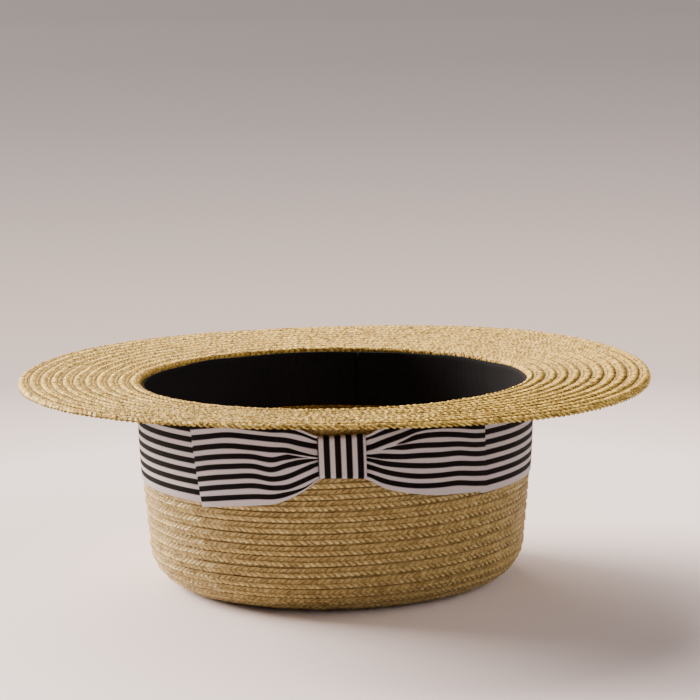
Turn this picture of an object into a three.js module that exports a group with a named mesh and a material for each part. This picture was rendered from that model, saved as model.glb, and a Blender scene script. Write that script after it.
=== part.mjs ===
// Straw boater hat, lying on its crown with the brim on top.
// Millimetres. Z is up, X runs along the long axis of the head hollow, and the
// bow is on the -Y side. The origin is on the ground under the middle of the hat.
import * as THREE from "three";

// Head hollow, at the turned straw edge of its opening. It is a slight egg shape.
const OPENING_SEMI_LONG = 98.5;
const OPENING_SEMI_SHORT = 84.3;
const OPENING_EGG = 0.02;
const OPENING_HEIGHT = 104.8;

// Straw shell. A drop is measured down from the opening, and an inset inwards.
const STRAW_THICKNESS = 2.0;
const BEND_RADIUS = 1.4;
const BEND_LIP = 0.6;
const BEND_STEPS = 3;
const CROWN_TAPER = [
  { drop: 3.3, inset: 0.0 },
  { drop: 30, inset: 0.4 },
  { drop: 50, inset: 1.4 },
  { drop: 66, inset: 2.5 },
  { drop: 83.3, inset: 4.0 },
];
const CORNER_STEPS = 6;
const TIP_RINGS = [1, 0.66, 0.33];

// Brim: a flat ring that rises slightly to its edge and waves a little.
const BRIM_WIDTH = 62.1;
const BRIM_RISE = 2.8;
const BRIM_TWIST = 1.2;
const BRIM_SAG = -0.3;
const BRIM_RIPPLE = 0.5;
const BRIM_RINGS = [0.25, 0.5, 0.75, 1];

// Sweatband inside the head hollow. Its lower edge stands off the straw.
const SWEATBAND_TOP_DROP = 2.4;
const SWEATBAND_DEPTH = 27.2;
const SWEATBAND_THICKNESS = 1.0;
const SWEATBAND_STAND_OFF = 1.0;

// Ribbon. The band's ends lie under the loops of the bow.
const RIBBON_THICKNESS = 0.7;
const BAND_TOP_DROP = 3.7;
const BAND_BOTTOM_DROP = 48.9;
const BAND_END_LEFT = -45;
const BAND_END_RIGHT = 62;
const BAND_STEPS = 78;

// Bow. Lengths run along the crown from the middle of the knot.
const KNOT_HALF_LENGTH = 11.5;
const KNOT_TOP_DROP = 11.3;
const KNOT_BOTTOM_DROP = 33.7;
const KNOT_LIFT = 5.3;
const KNOT_CORNER = 1.2;
const LEFT_LOOP = {
  side: -1,
  length: 74.9,
  slant: -4.2,
  outline: [
    { drop: 0, top: 12.7, bottom: 32.3 },
    { drop: 11.9, top: 12.7, bottom: 32.3 },
    { drop: 18, top: 10.2, bottom: 39.3 },
    { drop: 24, top: 7.2, bottom: 43.0 },
    { drop: 31.5, top: 5.4, bottom: 46.0 },
    { drop: 42, top: 4.6, bottom: 48.0 },
    { drop: 54, top: 4.3, bottom: 48.9 },
    { drop: 64, top: 5.7, bottom: 50.3 },
    { drop: 74.9, top: 7.0, bottom: 51.5 },
  ],
};
const RIGHT_LOOP = {
  side: 1,
  length: 74.0,
  slant: 2.0,
  outline: [
    { drop: 0, top: 12.7, bottom: 32.3 },
    { drop: 11.9, top: 12.7, bottom: 32.3 },
    { drop: 17, top: 10.8, bottom: 39.2 },
    { drop: 24, top: 7.4, bottom: 42.3 },
    { drop: 31, top: 5.4, bottom: 44.0 },
    { drop: 46, top: 3.9, bottom: 46.2 },
    { drop: 60, top: 3.9, bottom: 46.8 },
    { drop: 74, top: 4.3, bottom: 47.6 },
  ],
};
const LOOP_FOLD_RADIUS = 0.6;
const LOOP_PUFF = 1.5;
const LOOP_COLUMNS = 9;
const LOOP_STEPS = 10;
const FOLD_STEPS = 4;
const GATHER_LENGTH = 34;
const GATHER_DEPTH = 0.55;
const GATHER_WAVES = 2;

// Clearance between pieces that touch on the real hat, and fineness round the rings.
const CLEARANCE = 0.3;
const RING_STEPS = 80;

/** Value of `key` in a table of rows sorted by drop, with straight steps between the rows. */
function tableValue(table, key, drop) {
  const row = Math.max(1, table.findIndex((entry) => drop <= entry.drop));
  const before = table[row - 1];
  const after = table[row];
  const share = THREE.MathUtils.clamp((drop - before.drop) / (after.drop - before.drop), 0, 1);
  return THREE.MathUtils.lerp(before[key], after[key], share);
}

/** Point at angle `t` on the opening's edge, moved `out` along the outward normal. */
function wallPoint(t, out, height) {
  const swell = 1 - OPENING_EGG * Math.cos(t);
  const alongX = -OPENING_SEMI_LONG * Math.sin(t);
  const alongY = OPENING_SEMI_SHORT * (Math.cos(t) * swell + OPENING_EGG * Math.sin(t) ** 2);
  const size = Math.hypot(alongX, alongY);
  const x = OPENING_SEMI_LONG * Math.cos(t) + (out * alongY) / size;
  const y = OPENING_SEMI_SHORT * Math.sin(t) * swell - (out * alongX) / size;
  return new THREE.Vector3(x, y, height);
}

/** How far outside the opening's edge the crown's outer face lies at a drop below it. */
function crownFace(drop) {
  return STRAW_THICKNESS - tableValue(CROWN_TAPER, "inset", drop);
}

/** Point on the crown at angle `t`: `lift` outside its outer face, a drop below the opening. */
function crownPoint(t, lift, drop) {
  return wallPoint(t, crownFace(drop) + lift, OPENING_HEIGHT - drop);
}

/** Angle at which a length along the crown, from the middle of the bow, ends. */
function angleAlong(length) {
  const steps = 60;
  let t = -Math.PI / 2;
  for (let step = 0; step < steps; step += 1) {
    const here = wallPoint(t, STRAW_THICKNESS, 0);
    const speed = here.distanceTo(wallPoint(t + 0.001, STRAW_THICKNESS, 0)) / 0.001;
    t += length / steps / speed;
  }
  return t;
}

/** Geometry from points and triangles, turned inside out where its faces point in. */
function closedGeometry(points, triangles) {
  let volume = 0;
  for (const [a, b, c] of triangles) {
    volume += points[a].dot(new THREE.Vector3().crossVectors(points[b], points[c]));
  }
  const outward = triangles.map(([a, b, c]) => (volume > 0 ? [a, b, c] : [a, c, b]));
  const geometry = new THREE.BufferGeometry();
  const coordinates = points.flatMap((point) => point.toArray());
  geometry.setAttribute("position", new THREE.Float32BufferAttribute(coordinates, 3));
  geometry.setIndex(outward.flat());
  geometry.computeVertexNormals();
  return geometry;
}

/** Triangles of the strips between neighbouring sections of `count` points each. */
function sideTriangles(sectionCount, count, joined) {
  const triangles = [];
  const strips = joined ? sectionCount : sectionCount - 1;
  for (let i = 0; i < strips; i += 1) {
    const here = i * count;
    const next = ((i + 1) % sectionCount) * count;
    for (let j = 0; j < count; j += 1) {
      const k = (j + 1) % count;
      triangles.push([here + j, next + j, next + k], [here + j, next + k, here + k]);
    }
  }
  return triangles;
}

/** Triangles of both flat ends of a strip whose sections are a top row and a bottom row. */
function endTriangles(sectionCount, count) {
  const triangles = [];
  const last = (sectionCount - 1) * count;
  for (let j = 0; j < count / 2 - 1; j += 1) {
    const across = count - 1 - j;
    triangles.push([j, j + 1, across - 1], [j, across - 1, across]);
    triangles.push([last + j, last + across - 1, last + j + 1], [last + j, last + across, last + across - 1]);
  }
  return triangles;
}

/**
 * Sheet of even thickness round a grid of middle points, `grid[i][j]`.
 * A joined sheet closes on itself from its last row to its first.
 */
function sheetGeometry(grid, thickness, joined) {
  const rows = grid.length;
  const sections = grid.map((row, i) => {
    const before = joined ? grid[(i + rows - 1) % rows] : grid[Math.max(0, i - 1)];
    const after = joined ? grid[(i + 1) % rows] : grid[Math.min(rows - 1, i + 1)];
    const faces = row.map((point, j) => {
      const along = new THREE.Vector3().subVectors(after[j], before[j]);
      const next = row[Math.min(row.length - 1, j + 1)];
      const across = new THREE.Vector3().subVectors(next, row[Math.max(0, j - 1)]);
      const half = across.cross(along).setLength(thickness / 2);
      return { outer: point.clone().add(half), inner: point.clone().sub(half) };
    });
    return [...faces.map((face) => face.outer), ...faces.map((face) => face.inner).reverse()];
  });
  const count = sections[0].length;
  const triangles = sideTriangles(rows, count, joined);
  if (!joined) triangles.push(...endTriangles(rows, count));
  return closedGeometry(sections.flat(), triangles);
}

/** Grid of points round the whole hat: `pointAt(t, j)` for each angle and column. */
function ringGrid(columns, pointAt) {
  return Array.from({ length: RING_STEPS }, (_, i) => {
    const t = (2 * Math.PI * i) / RING_STEPS;
    return Array.from({ length: columns }, (_, j) => pointAt(t, j));
  });
}

/** Outer or inner section of the crown from its flat tip up to its rim, without the pole. */
function crownSection(depth) {
  const straightEnd = CROWN_TAPER[CROWN_TAPER.length - 1];
  const side = STRAW_THICKNESS - depth - straightEnd.inset;
  const radius = OPENING_HEIGHT - straightEnd.drop - depth;
  const section = TIP_RINGS.map((share) => ({ share, out: side - radius, height: depth })).reverse();
  for (let step = 1; step < CORNER_STEPS; step += 1) {
    const turn = (Math.PI / 2) * (step / CORNER_STEPS);
    const out = side - radius + radius * Math.sin(turn);
    section.push({ share: 1, out, height: depth + radius * (1 - Math.cos(turn)) });
  }
  for (const row of [...CROWN_TAPER].reverse()) {
    section.push({ share: 1, out: STRAW_THICKNESS - depth - row.inset, height: OPENING_HEIGHT - row.drop });
  }
  return section;
}

/** Crown: a flat tip, a rounded corner and a side wall, open at the top. */
function crownGeometry() {
  const section = [...crownSection(0), ...crownSection(STRAW_THICKNESS).reverse()];
  const points = [new THREE.Vector3(0, 0, 0), new THREE.Vector3(0, 0, STRAW_THICKNESS)];
  const triangles = [];
  const index = (i, j) => 2 + (i % RING_STEPS) * section.length + j;
  for (let i = 0; i < RING_STEPS; i += 1) {
    const t = (2 * Math.PI * i) / RING_STEPS;
    for (const { share, out, height } of section) {
      const point = wallPoint(t, out, height);
      points.push(new THREE.Vector3(point.x * share, point.y * share, height));
    }
    triangles.push([0, index(i + 1, 0), index(i, 0)]);
    triangles.push([1, index(i, section.length - 1), index(i + 1, section.length - 1)]);
    for (let j = 0; j < section.length - 1; j += 1) {
      triangles.push([index(i, j), index(i + 1, j), index(i + 1, j + 1)]);
      triangles.push([index(i, j), index(i + 1, j + 1), index(i, j + 1)]);
    }
  }
  return closedGeometry(points, triangles);
}

/** Middle layer of the brim, from the turned bend at the opening out to the edge. */
function brimGeometry() {
  const half = STRAW_THICKNESS / 2;
  const bend = Array.from({ length: BEND_STEPS + 1 }, (_, step) => {
    const turn = (Math.PI / 2) * (step / BEND_STEPS);
    const out = half + BEND_RADIUS * (1 - Math.cos(turn));
    return { out, drop: half + BEND_RADIUS * (1 - Math.sin(turn)) };
  });
  bend.unshift({ out: half, drop: half + BEND_RADIUS + BEND_LIP });
  const start = half + BEND_RADIUS;
  const columns = bend.length + BRIM_RINGS.length;
  return sheetGeometry(ringGrid(columns, (t, j) => {
    if (j < bend.length) return wallPoint(t, bend[j].out, OPENING_HEIGHT - bend[j].drop);
    const share = BRIM_RINGS[j - bend.length];
    const wave = BRIM_TWIST * Math.sin(2 * t) + BRIM_SAG * Math.cos(2 * t) + BRIM_RIPPLE * Math.sin(3 * t);
    const rise = BRIM_RISE * share + wave * share * share;
    return wallPoint(t, THREE.MathUtils.lerp(start, BRIM_WIDTH, share), OPENING_HEIGHT - half + rise);
  }), STRAW_THICKNESS, true);
}

/** Sweatband: a ring inside the crown, standing off a little at its lower edge. */
function sweatbandGeometry() {
  const drops = [0, 0.5, 1].map((share) => ({ share, drop: SWEATBAND_TOP_DROP + SWEATBAND_DEPTH * share }));
  return sheetGeometry(ringGrid(drops.length, (t, j) => {
    const { share, drop } = drops[j];
    const wall = crownFace(drop) - STRAW_THICKNESS;
    const out = wall - CLEARANCE - SWEATBAND_THICKNESS / 2 - SWEATBAND_STAND_OFF * share * share;
    return wallPoint(t, out, OPENING_HEIGHT - drop);
  }), SWEATBAND_THICKNESS, true);
}

/** Ribbon band round the outside of the crown, open under the bow. */
function ribbonBandGeometry() {
  const start = angleAlong(BAND_END_RIGHT);
  const end = angleAlong(BAND_END_LEFT) + 2 * Math.PI;
  const lift = CLEARANCE + RIBBON_THICKNESS / 2;
  const drops = [BAND_TOP_DROP, CROWN_TAPER[1].drop, BAND_BOTTOM_DROP];
  const grid = Array.from({ length: BAND_STEPS + 1 }, (_, i) => {
    const t = THREE.MathUtils.lerp(start, end, i / BAND_STEPS);
    return drops.map((drop) => crownPoint(t, lift, drop));
  });
  return sheetGeometry(grid, RIBBON_THICKNESS, false);
}

/** One loop of the bow: a ribbon gathered at the knot, folded at its end and run back. */
function bowLoopGeometry({ side, length, slant, outline }) {
  const backLift = 2 * CLEARANCE + 1.5 * RIBBON_THICKNESS;
  const foldStart = length - LOOP_FOLD_RADIUS;
  const gathered = outline[1].drop;
  const front = [CLEARANCE / 2, gathered / 2];
  for (let step = 0; step <= LOOP_STEPS; step += 1) {
    front.push(THREE.MathUtils.lerp(gathered, foldStart, step / LOOP_STEPS));
  }
  const path = front.map((along) => {
    const gather = THREE.MathUtils.clamp(1 - along / GATHER_LENGTH, 0, 1);
    const free = Math.max(0, (along - KNOT_HALF_LENGTH) / (foldStart - KNOT_HALF_LENGTH));
    const puff = LOOP_PUFF * Math.sin(Math.PI * free);
    return { along, lift: backLift + 2 * LOOP_FOLD_RADIUS, puff, gather };
  });
  for (let step = 1; step < FOLD_STEPS; step += 1) {
    const turn = (Math.PI * step) / FOLD_STEPS;
    const lift = backLift + LOOP_FOLD_RADIUS * (1 + Math.cos(turn));
    path.push({ along: foldStart + LOOP_FOLD_RADIUS * Math.sin(turn), lift, puff: 0, gather: 0 });
  }
  for (const along of [...front].reverse()) path.push({ along, lift: backLift, puff: 0, gather: 0 });
  const grid = path.map(({ along, lift, puff, gather }) => {
    return Array.from({ length: LOOP_COLUMNS }, (_, j) => {
      const share = j / (LOOP_COLUMNS - 1);
      const reach = along + slant * (share - 0.5) * (along / length) ** 2;
      const wave = 1 - Math.cos(2 * Math.PI * GATHER_WAVES * share);
      const fullLift = lift + puff * Math.sin(Math.PI * share) + GATHER_DEPTH * gather * wave;
      const top = tableValue(outline, "top", along);
      const bottom = tableValue(outline, "bottom", along);
      return crownPoint(angleAlong(side * reach), fullLift, THREE.MathUtils.lerp(top, bottom, share));
    });
  });
  return sheetGeometry(grid, RIBBON_THICKNESS, false);
}

/** Knot: a ribbon wrapped round the gathered middle of the bow, open towards both loops. */
function bowKnotGeometry() {
  const half = RIBBON_THICKNESS / 2;
  const low = CLEARANCE + half + KNOT_CORNER;
  const high = KNOT_LIFT - half - KNOT_CORNER;
  const top = KNOT_TOP_DROP + half + KNOT_CORNER;
  const bottom = KNOT_BOTTOM_DROP - half - KNOT_CORNER;
  const corners = [[top, low, 2], [bottom, low, 3], [bottom, high, 0], [top, high, 1]];
  const outline = corners.flatMap(([drop, lift, quarter]) => [0, 1, 2, 3].map((step) => {
    const turn = (Math.PI / 2) * (quarter + step / 3);
    return { drop: drop + KNOT_CORNER * Math.cos(turn), lift: lift + KNOT_CORNER * Math.sin(turn) };
  }));
  const stations = [-1, -0.5, 0, 0.5, 1].map((share) => angleAlong(share * KNOT_HALF_LENGTH));
  const grid = outline.map(({ drop, lift }) => stations.map((t) => crownPoint(t, lift, drop)));
  return sheetGeometry(grid, RIBBON_THICKNESS, true);
}

/** Named mesh with its own material. */
function makePiece(name, geometry, look) {
  const mesh = new THREE.Mesh(geometry, new THREE.MeshStandardMaterial({ ...look, metalness: 0 }));
  mesh.name = name;
  return mesh;
}

const straw = { color: 0xd9b878, roughness: 0.45 };
const ribbon = { color: 0xdcd8dc, roughness: 0.7 };
const darkCloth = { color: 0x121114, roughness: 0.8 };

const group = new THREE.Group();
group.name = "straw_boater_hat";
group.add(makePiece("crown", crownGeometry(), straw));
group.add(makePiece("brim", brimGeometry(), straw));
group.add(makePiece("sweatband", sweatbandGeometry(), darkCloth));
group.add(makePiece("ribbon_band", ribbonBandGeometry(), ribbon));
group.add(makePiece("bow_loop_left", bowLoopGeometry(LEFT_LOOP), ribbon));
group.add(makePiece("bow_loop_right", bowLoopGeometry(RIGHT_LOOP), ribbon));
group.add(makePiece("bow_knot", bowKnotGeometry(), ribbon));

export default group;
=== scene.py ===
"""Straw boater hat, lying on its crown: sewn straw plait, inner band, striped ribbon and bow."""

import logging
from dataclasses import dataclass
from enum import Enum
from typing import NamedTuple

import bpy
import numpy as np
from mathutils import Matrix, Vector

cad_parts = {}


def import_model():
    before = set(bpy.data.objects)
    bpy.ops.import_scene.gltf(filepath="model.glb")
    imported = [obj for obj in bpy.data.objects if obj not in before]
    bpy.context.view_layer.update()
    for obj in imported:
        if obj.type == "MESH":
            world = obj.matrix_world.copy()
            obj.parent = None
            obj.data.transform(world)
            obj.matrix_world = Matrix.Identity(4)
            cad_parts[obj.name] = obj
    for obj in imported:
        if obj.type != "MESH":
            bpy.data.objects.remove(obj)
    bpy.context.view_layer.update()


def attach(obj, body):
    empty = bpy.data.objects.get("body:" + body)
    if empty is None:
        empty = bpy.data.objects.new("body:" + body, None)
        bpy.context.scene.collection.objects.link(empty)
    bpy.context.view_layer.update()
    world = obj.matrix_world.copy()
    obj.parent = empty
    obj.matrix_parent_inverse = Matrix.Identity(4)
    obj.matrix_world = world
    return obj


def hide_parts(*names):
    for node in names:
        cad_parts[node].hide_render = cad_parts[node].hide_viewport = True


LOG = logging.getLogger("boater")
MM = 0.001
TURN = 2 * np.pi
TINY = 1e-6

# The straw's surface map counts rows across it, from 0 on the outer face and from INNER_MAP
# on the inner one. Each row has two half rows of straws, which slant towards each other.
HALF_ROWS = 2.0
INNER_MAP = 3.0

Array = np.ndarray
Object = bpy.types.Object
Socket = bpy.types.NodeSocket
Tint = tuple[float, float, float]
Value = Socket | float
Colour = Socket | Tint


class Slot(Enum):
    """Material slots of the record that the pieces take their finish from."""

    STRAW = "straw_braid"
    BAND = "dark_band"
    RIBBON = "striped_ribbon"


class Face(Enum):
    """Side of the straw shell: OUTER is away from the head, INNER towards it."""

    OUTER = 1
    INNER = -1


def smooth_step(x: Array) -> Array:
    """Ease from 0 to 1: three x squared less two x cubed, held at both ends.

    Args:
        x: position, 0 at the start and 1 at the end.

    Returns:
        The eased share for each x.
    """
    x = np.clip(x, 0.0, 1.0)
    return x * x * (3.0 - 2.0 * x)


def smooth_curve(knots: Array, values: Array, x: Array) -> Array:
    """Cubic Hermite curve through knots, its slopes the mean slopes of the neighbouring steps.

    Args:
        knots: rising places of the known values.
        values: known values, one for each knot.
        x: places to read, held inside the knots.

    Returns:
        The curve's value at each x.
    """
    knots, values = np.asarray(knots, float), np.asarray(values, float)
    slopes = np.gradient(values, knots)
    x = np.clip(x, knots[0], knots[-1])
    cell = np.clip(np.searchsorted(knots, x, side="right") - 1, 0, len(knots) - 2)
    width = knots[cell + 1] - knots[cell]
    s = (x - knots[cell]) / width
    return (
        values[cell] * (1 + 2 * s) * (1 - s) ** 2
        + slopes[cell] * width * s * (1 - s) ** 2
        + values[cell + 1] * s * s * (3 - 2 * s)
        - slopes[cell + 1] * width * s * s * (1 - s)
    )


def run_along(line: Array) -> Array:
    """Length of a line up to each of its points: the sum of the steps between them."""
    steps = np.linalg.norm(np.diff(line, axis=0), axis=-1)
    return np.concatenate([[0.0], np.cumsum(steps)])


@dataclass(frozen=True)
class Wander:
    """Smooth wandering value: a sum of sines, each from a sixth of the longest up to it.

    seed gives the sines' lengths and phases, longest is the length of the longest one, size
    is about how far the value goes to either side, and waves is how many sines there are.
    """

    seed: int
    longest: float
    size: float
    waves: int = 7

    def at(self, x: Array) -> Array:
        """Wandering value at each place along the piece.

        Args:
            x: places along the piece.

        Returns:
            The value at each x.
        """
        rng = np.random.default_rng(self.seed)
        lengths = self.longest / rng.uniform(1.0, 6.0, self.waves)
        phases = rng.uniform(0.0, TURN, self.waves)
        total = sum(np.sin(TURN * x / length + phase) for length, phase in zip(lengths, phases))
        return self.size * (total / np.sqrt(self.waves))


def make_piece(name: str, points: Array, quads: Array, uv: Array | None = None) -> Object:
    """Smooth-shaded mesh object at the origin, made from arrays.

    Args:
        name: name of the piece.
        points: corners, one row of x, y, z in metres for each.
        quads: four corner numbers for each face, anticlockwise from outside.
        uv: surface coordinates, one row for each corner of each face.

    Returns:
        The new object, linked to the scene.
    """
    mesh = bpy.data.meshes.new(name)
    mesh.vertices.add(len(points))
    mesh.vertices.foreach_set("co", np.ascontiguousarray(points, np.float32).ravel())
    mesh.loops.add(quads.size)
    mesh.loops.foreach_set("vertex_index", np.ascontiguousarray(quads, np.int32).ravel())
    mesh.polygons.add(len(quads))
    mesh.polygons.foreach_set("loop_start", np.arange(0, quads.size, 4, dtype=np.int32))
    mesh.polygons.foreach_set("loop_total", np.full(len(quads), 4, np.int32))
    mesh.polygons.foreach_set("use_smooth", np.ones(len(quads), bool))
    if uv is not None:
        layer = mesh.uv_layers.new(name="surface")
        layer.data.foreach_set("uv", np.ascontiguousarray(uv, np.float32).ravel())
    mesh.update(calc_edges=True)
    mesh.validate()
    piece = bpy.data.objects.new(name, mesh)
    bpy.context.scene.collection.objects.link(piece)
    return piece


def loft(sections: Array, uv: Array, joined: bool) -> tuple[Array, Array, Array]:
    """Skin through closed sections, with flat ends where it isn't joined to itself.

    The faces of section i run from its point j to j + 1 and on to section i + 1. Each end of
    an open skin is closed by strips across it, from point j to the point opposite.

    Args:
        sections: corners by section and by place round the section.
        uv: surface coordinates of the same corners, with one more place round the section
            and, on a joined skin, one more section, so that both seams keep their own values.
        joined: whether the last section runs on into the first.

    Returns:
        Corners, faces and surface coordinates for make_piece.
    """
    rows, count = sections.shape[:2]
    spans = rows if joined else rows - 1
    i, j = np.meshgrid(np.arange(spans), np.arange(count), indexing="ij")
    ahead, right = (i + 1) % rows, (j + 1) % count
    quads = np.stack([i * count + j, ahead * count + j, ahead * count + right, i * count + right], -1)
    corners = np.stack([uv[i, j], uv[i + 1, j], uv[i + 1, j + 1], uv[i, j + 1]], 2)
    quads, corners = quads.reshape(-1, 4), corners.reshape(-1, 8)
    if not joined:
        k = np.arange((count - 2) // 2)
        first = np.stack([k, k + 1, count - 2 - k, count - 1 - k], -1)
        last = first[:, ::-1] + (rows - 1) * count
        quads = np.concatenate([quads, first, last])
        at_first = uv[0][first].reshape(-1, 8)
        at_last = uv[-1][first[:, ::-1]].reshape(-1, 8)
        corners = np.concatenate([corners, at_first, at_last])
    return sections.reshape(-1, 3), quads, corners


def grid_normals(grid: Array, joined: bool) -> Array:
    """Unit normals of a grid of points: the cross product of its steps along and across.

    Args:
        grid: points by row and column.
        joined: whether the rows run on from the last to the first.

    Returns:
        One unit normal for each point.
    """
    if joined:
        along = np.roll(grid, -1, axis=0) - np.roll(grid, 1, axis=0)
    else:
        along = np.gradient(grid, axis=0)
    across = np.gradient(grid, axis=1)
    normal = np.cross(across, along)
    return normal / np.linalg.norm(normal, axis=-1, keepdims=True)


def cloth_strip(grid: Array, uv: Array, thickness: float, joined: bool) -> tuple[Array, Array, Array]:
    """Strip of even thickness round a grid of middle points, with rounded long edges.

    Each section goes along the outer face, over a rounded edge, back along the inner face
    and over the other edge. Faces are the middle points moved by half the thickness along
    the normal, and an edge point lies half a thickness beyond the last middle point.

    Args:
        grid: middle points by row along the strip and column across it.
        uv: surface coordinates of the middle points; a joined strip has one more row.
        thickness: thickness of the cloth in metres.
        joined: whether the strip closes on itself.

    Returns:
        Corners, faces and surface coordinates for make_piece.
    """
    normal = grid_normals(grid, joined) * thickness / 2
    outer, inner = grid + normal, grid - normal
    edge_step = grid[:, -1] - grid[:, -2]
    edge_step *= (thickness / 2) / np.linalg.norm(edge_step, axis=-1, keepdims=True)
    last_edge = grid[:, -1:] + edge_step[:, None]
    edge_step = grid[:, 0] - grid[:, 1]
    edge_step *= (thickness / 2) / np.linalg.norm(edge_step, axis=-1, keepdims=True)
    first_edge = grid[:, :1] + edge_step[:, None]
    sections = np.concatenate([outer, last_edge, inner[:, ::-1], first_edge], axis=1)
    wide = np.concatenate([uv, uv[:, -1:], uv[:, ::-1], uv[:, :1], uv[:, :1]], axis=1)
    points, quads, corners = loft(sections, wide, joined)
    volume = np.einsum("ij,ij->", points[quads[:, 0]], np.cross(points[quads[:, 1]], points[quads[:, 2]]))
    volume += np.einsum("ij,ij->", points[quads[:, 0]], np.cross(points[quads[:, 2]], points[quads[:, 3]]))
    if volume < 0:
        quads = quads[:, ::-1]
        corners = corners.reshape(-1, 4, 2)[:, ::-1].reshape(-1, 8)
    return points, quads, corners


@dataclass(frozen=True)
class HatForm:
    """Shape of the straw shell. A drop is measured down from the opening, an out outwards.

    The brim's height has a twist of two waves round it, a sag of two and a ripple of three.
    """

    semi_long: float = 98.5 * MM
    semi_short: float = 84.3 * MM
    egg: float = 0.02
    height: float = 104.8 * MM
    thickness: float = 2.0 * MM
    taper_drop: tuple[float, ...] = (3.3 * MM, 30 * MM, 50 * MM, 66 * MM, 83.3 * MM)
    taper_inset: tuple[float, ...] = (0.0, 0.4 * MM, 1.4 * MM, 2.5 * MM, 4.0 * MM)
    bend_radius: float = 1.4 * MM
    brim_width: float = 62.1 * MM
    brim_rise: float = 3.4 * MM
    brim_twist: float = 1.2 * MM
    brim_sag: float = -0.3 * MM
    brim_ripple: float = 1.1 * MM
    rim_roll: float = 1.6 * MM
    rim_reach: float = 3.2 * MM
    corner_points: int = 60
    side_points: int = 200
    brim_points: int = 80
    search_points: int = 8001

    def face(self, drop: Array) -> Array:
        """How far outside the opening's edge the crown's outer face lies, a drop below it."""
        return self.thickness - smooth_curve(self.taper_drop, self.taper_inset, drop)

    def wall(self, t: Array, out: Array, height: Array) -> Array:
        """Point at angle t on the opening's egg-shaped edge, moved out along its normal.

        The edge is x = long cos t and y = short sin t (1 - egg cos t).

        Args:
            t: angle round the hat, from +X towards +Y.
            out: distance outwards from the edge.
            height: height above the ground.

        Returns:
            Points with x, y and z last.
        """
        t, out, height = np.broadcast_arrays(t, out, height)
        swell = 1 - self.egg * np.cos(t)
        along_x = -self.semi_long * np.sin(t)
        along_y = self.semi_short * (np.cos(t) * swell + self.egg * np.sin(t) ** 2)
        size = np.hypot(along_x, along_y)
        x = self.semi_long * np.cos(t) + out * along_y / size
        y = self.semi_short * np.sin(t) * swell - out * along_x / size
        return np.stack([x, y, height], -1)

    def on_crown(self, t: Array, lift: Array, drop: Array) -> Array:
        """Point at angle t, lifted off the crown's outer face, a drop below the opening."""
        return self.wall(t, self.face(drop) + lift, self.height - drop)

    def angle_along(self, length: Array, start: float = -np.pi / 2) -> Array:
        """Angle at the end of a length measured along the crown.

        Args:
            length: the length, below 0 for the other way round.
            start: angle that it is measured from, the middle of the front unless given.

        Returns:
            The angle for each length.
        """
        t = np.linspace(start - TURN, start + TURN, self.search_points)
        run = run_along(self.wall(t, self.thickness, 0.0))
        return np.interp(length, run - np.interp(start, t, run), t)

    def tip_out(self) -> float:
        """Out of the tip's edge, where the rounded corner begins."""
        return self.thickness - self.taper_inset[-1] - (self.height - self.taper_drop[-1])

    def tip_reach(self) -> float:
        """Length from the middle of the tip to its edge, along the short axis."""
        return self.semi_short + self.tip_out()

    def meridian(self) -> tuple[Array, Array, Array]:
        """Middle line of the shell from the tip's edge to the brim's edge.

        It is a quarter arc, the tapered side, a quarter arc the other way, and the brim.

        Returns:
            Length from the middle of the tip, out, and height, for each point of the line.
        """
        half = self.thickness / 2
        turn = np.linspace(0.0, np.pi / 2, self.corner_points)
        radius = self.height - self.taper_drop[-1] - half
        corner_out = self.tip_out() + radius * np.sin(turn)
        corner_height = half + radius * (1 - np.cos(turn))
        drop = np.linspace(self.taper_drop[-1], half + self.bend_radius, self.side_points)[1:]
        bend_out = half + self.bend_radius * (1 - np.cos(turn[1:]))
        bend_height = self.height - half - self.bend_radius * (1 - np.sin(turn[1:]))
        brim_out = np.linspace(half + self.bend_radius, self.brim_width, self.brim_points)[1:]
        share = (brim_out - brim_out[0]) / (brim_out[-1] - brim_out[0])
        out = np.concatenate([corner_out, self.face(drop) - half, bend_out, brim_out])
        brim_height = self.height - half + self.brim_rise * share
        height = np.concatenate([corner_height, self.height - drop, bend_height, brim_height])
        run = np.concatenate([[0.0], np.cumsum(np.hypot(np.diff(out), np.diff(height)))])
        return self.tip_reach() + run, out, height

    def shell(self, t: Array, run: Array, lift: Array) -> Array:
        """Point of the straw shell.

        Out and height follow the meridian, and lift moves along its outer normal. On the tip,
        x and y shrink with the same step along both axes, so rows close on a short line.

        Args:
            t: angle round the hat.
            run: length from the middle of the tip towards the brim's edge.
            lift: distance from the middle of the shell, towards its outer face.

        Returns:
            Points with x, y and z last.
        """
        line_run, line_out, line_height = self.meridian()
        slope_out = np.gradient(line_out, line_run)
        slope_height = np.gradient(line_height, line_run)
        size = np.hypot(slope_out, slope_height)
        out = np.interp(run, line_run, line_out)
        height = np.interp(run, line_run, line_height)
        normal_out = np.interp(run, line_run, slope_height / size)
        normal_height = np.interp(run, line_run, -slope_out / size)
        point = self.wall(t, out + lift * normal_out, height + lift * normal_height)
        short = np.clip(self.tip_reach() - run, 0.0, None)
        long_reach = self.semi_long + self.tip_out()
        point[..., 0] *= (long_reach - short) / long_reach
        point[..., 1] *= (self.tip_reach() - short) / self.tip_reach()
        brim_share = np.clip((out - self.bend_radius - self.thickness / 2) / self.brim_width, 0.0, 1.0)
        brim_share = np.where(height > self.height - self.thickness, brim_share, 0.0)
        wave = self.brim_twist * np.sin(2 * t) + self.brim_sag * np.cos(2 * t)
        wave = wave + self.brim_ripple * np.sin(3 * t)
        point[..., 2] += wave * brim_share**2
        to_rim = np.clip(1 - (line_run[-1] - run) / self.rim_reach, 0.0, 1.0)
        point[..., 2] -= self.rim_roll * to_rim**2
        return point


class Band(NamedTuple):
    """Range of a value, from low to high, and the values that it is moved to."""

    low: float
    high: float
    to_low: float
    to_high: float


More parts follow.
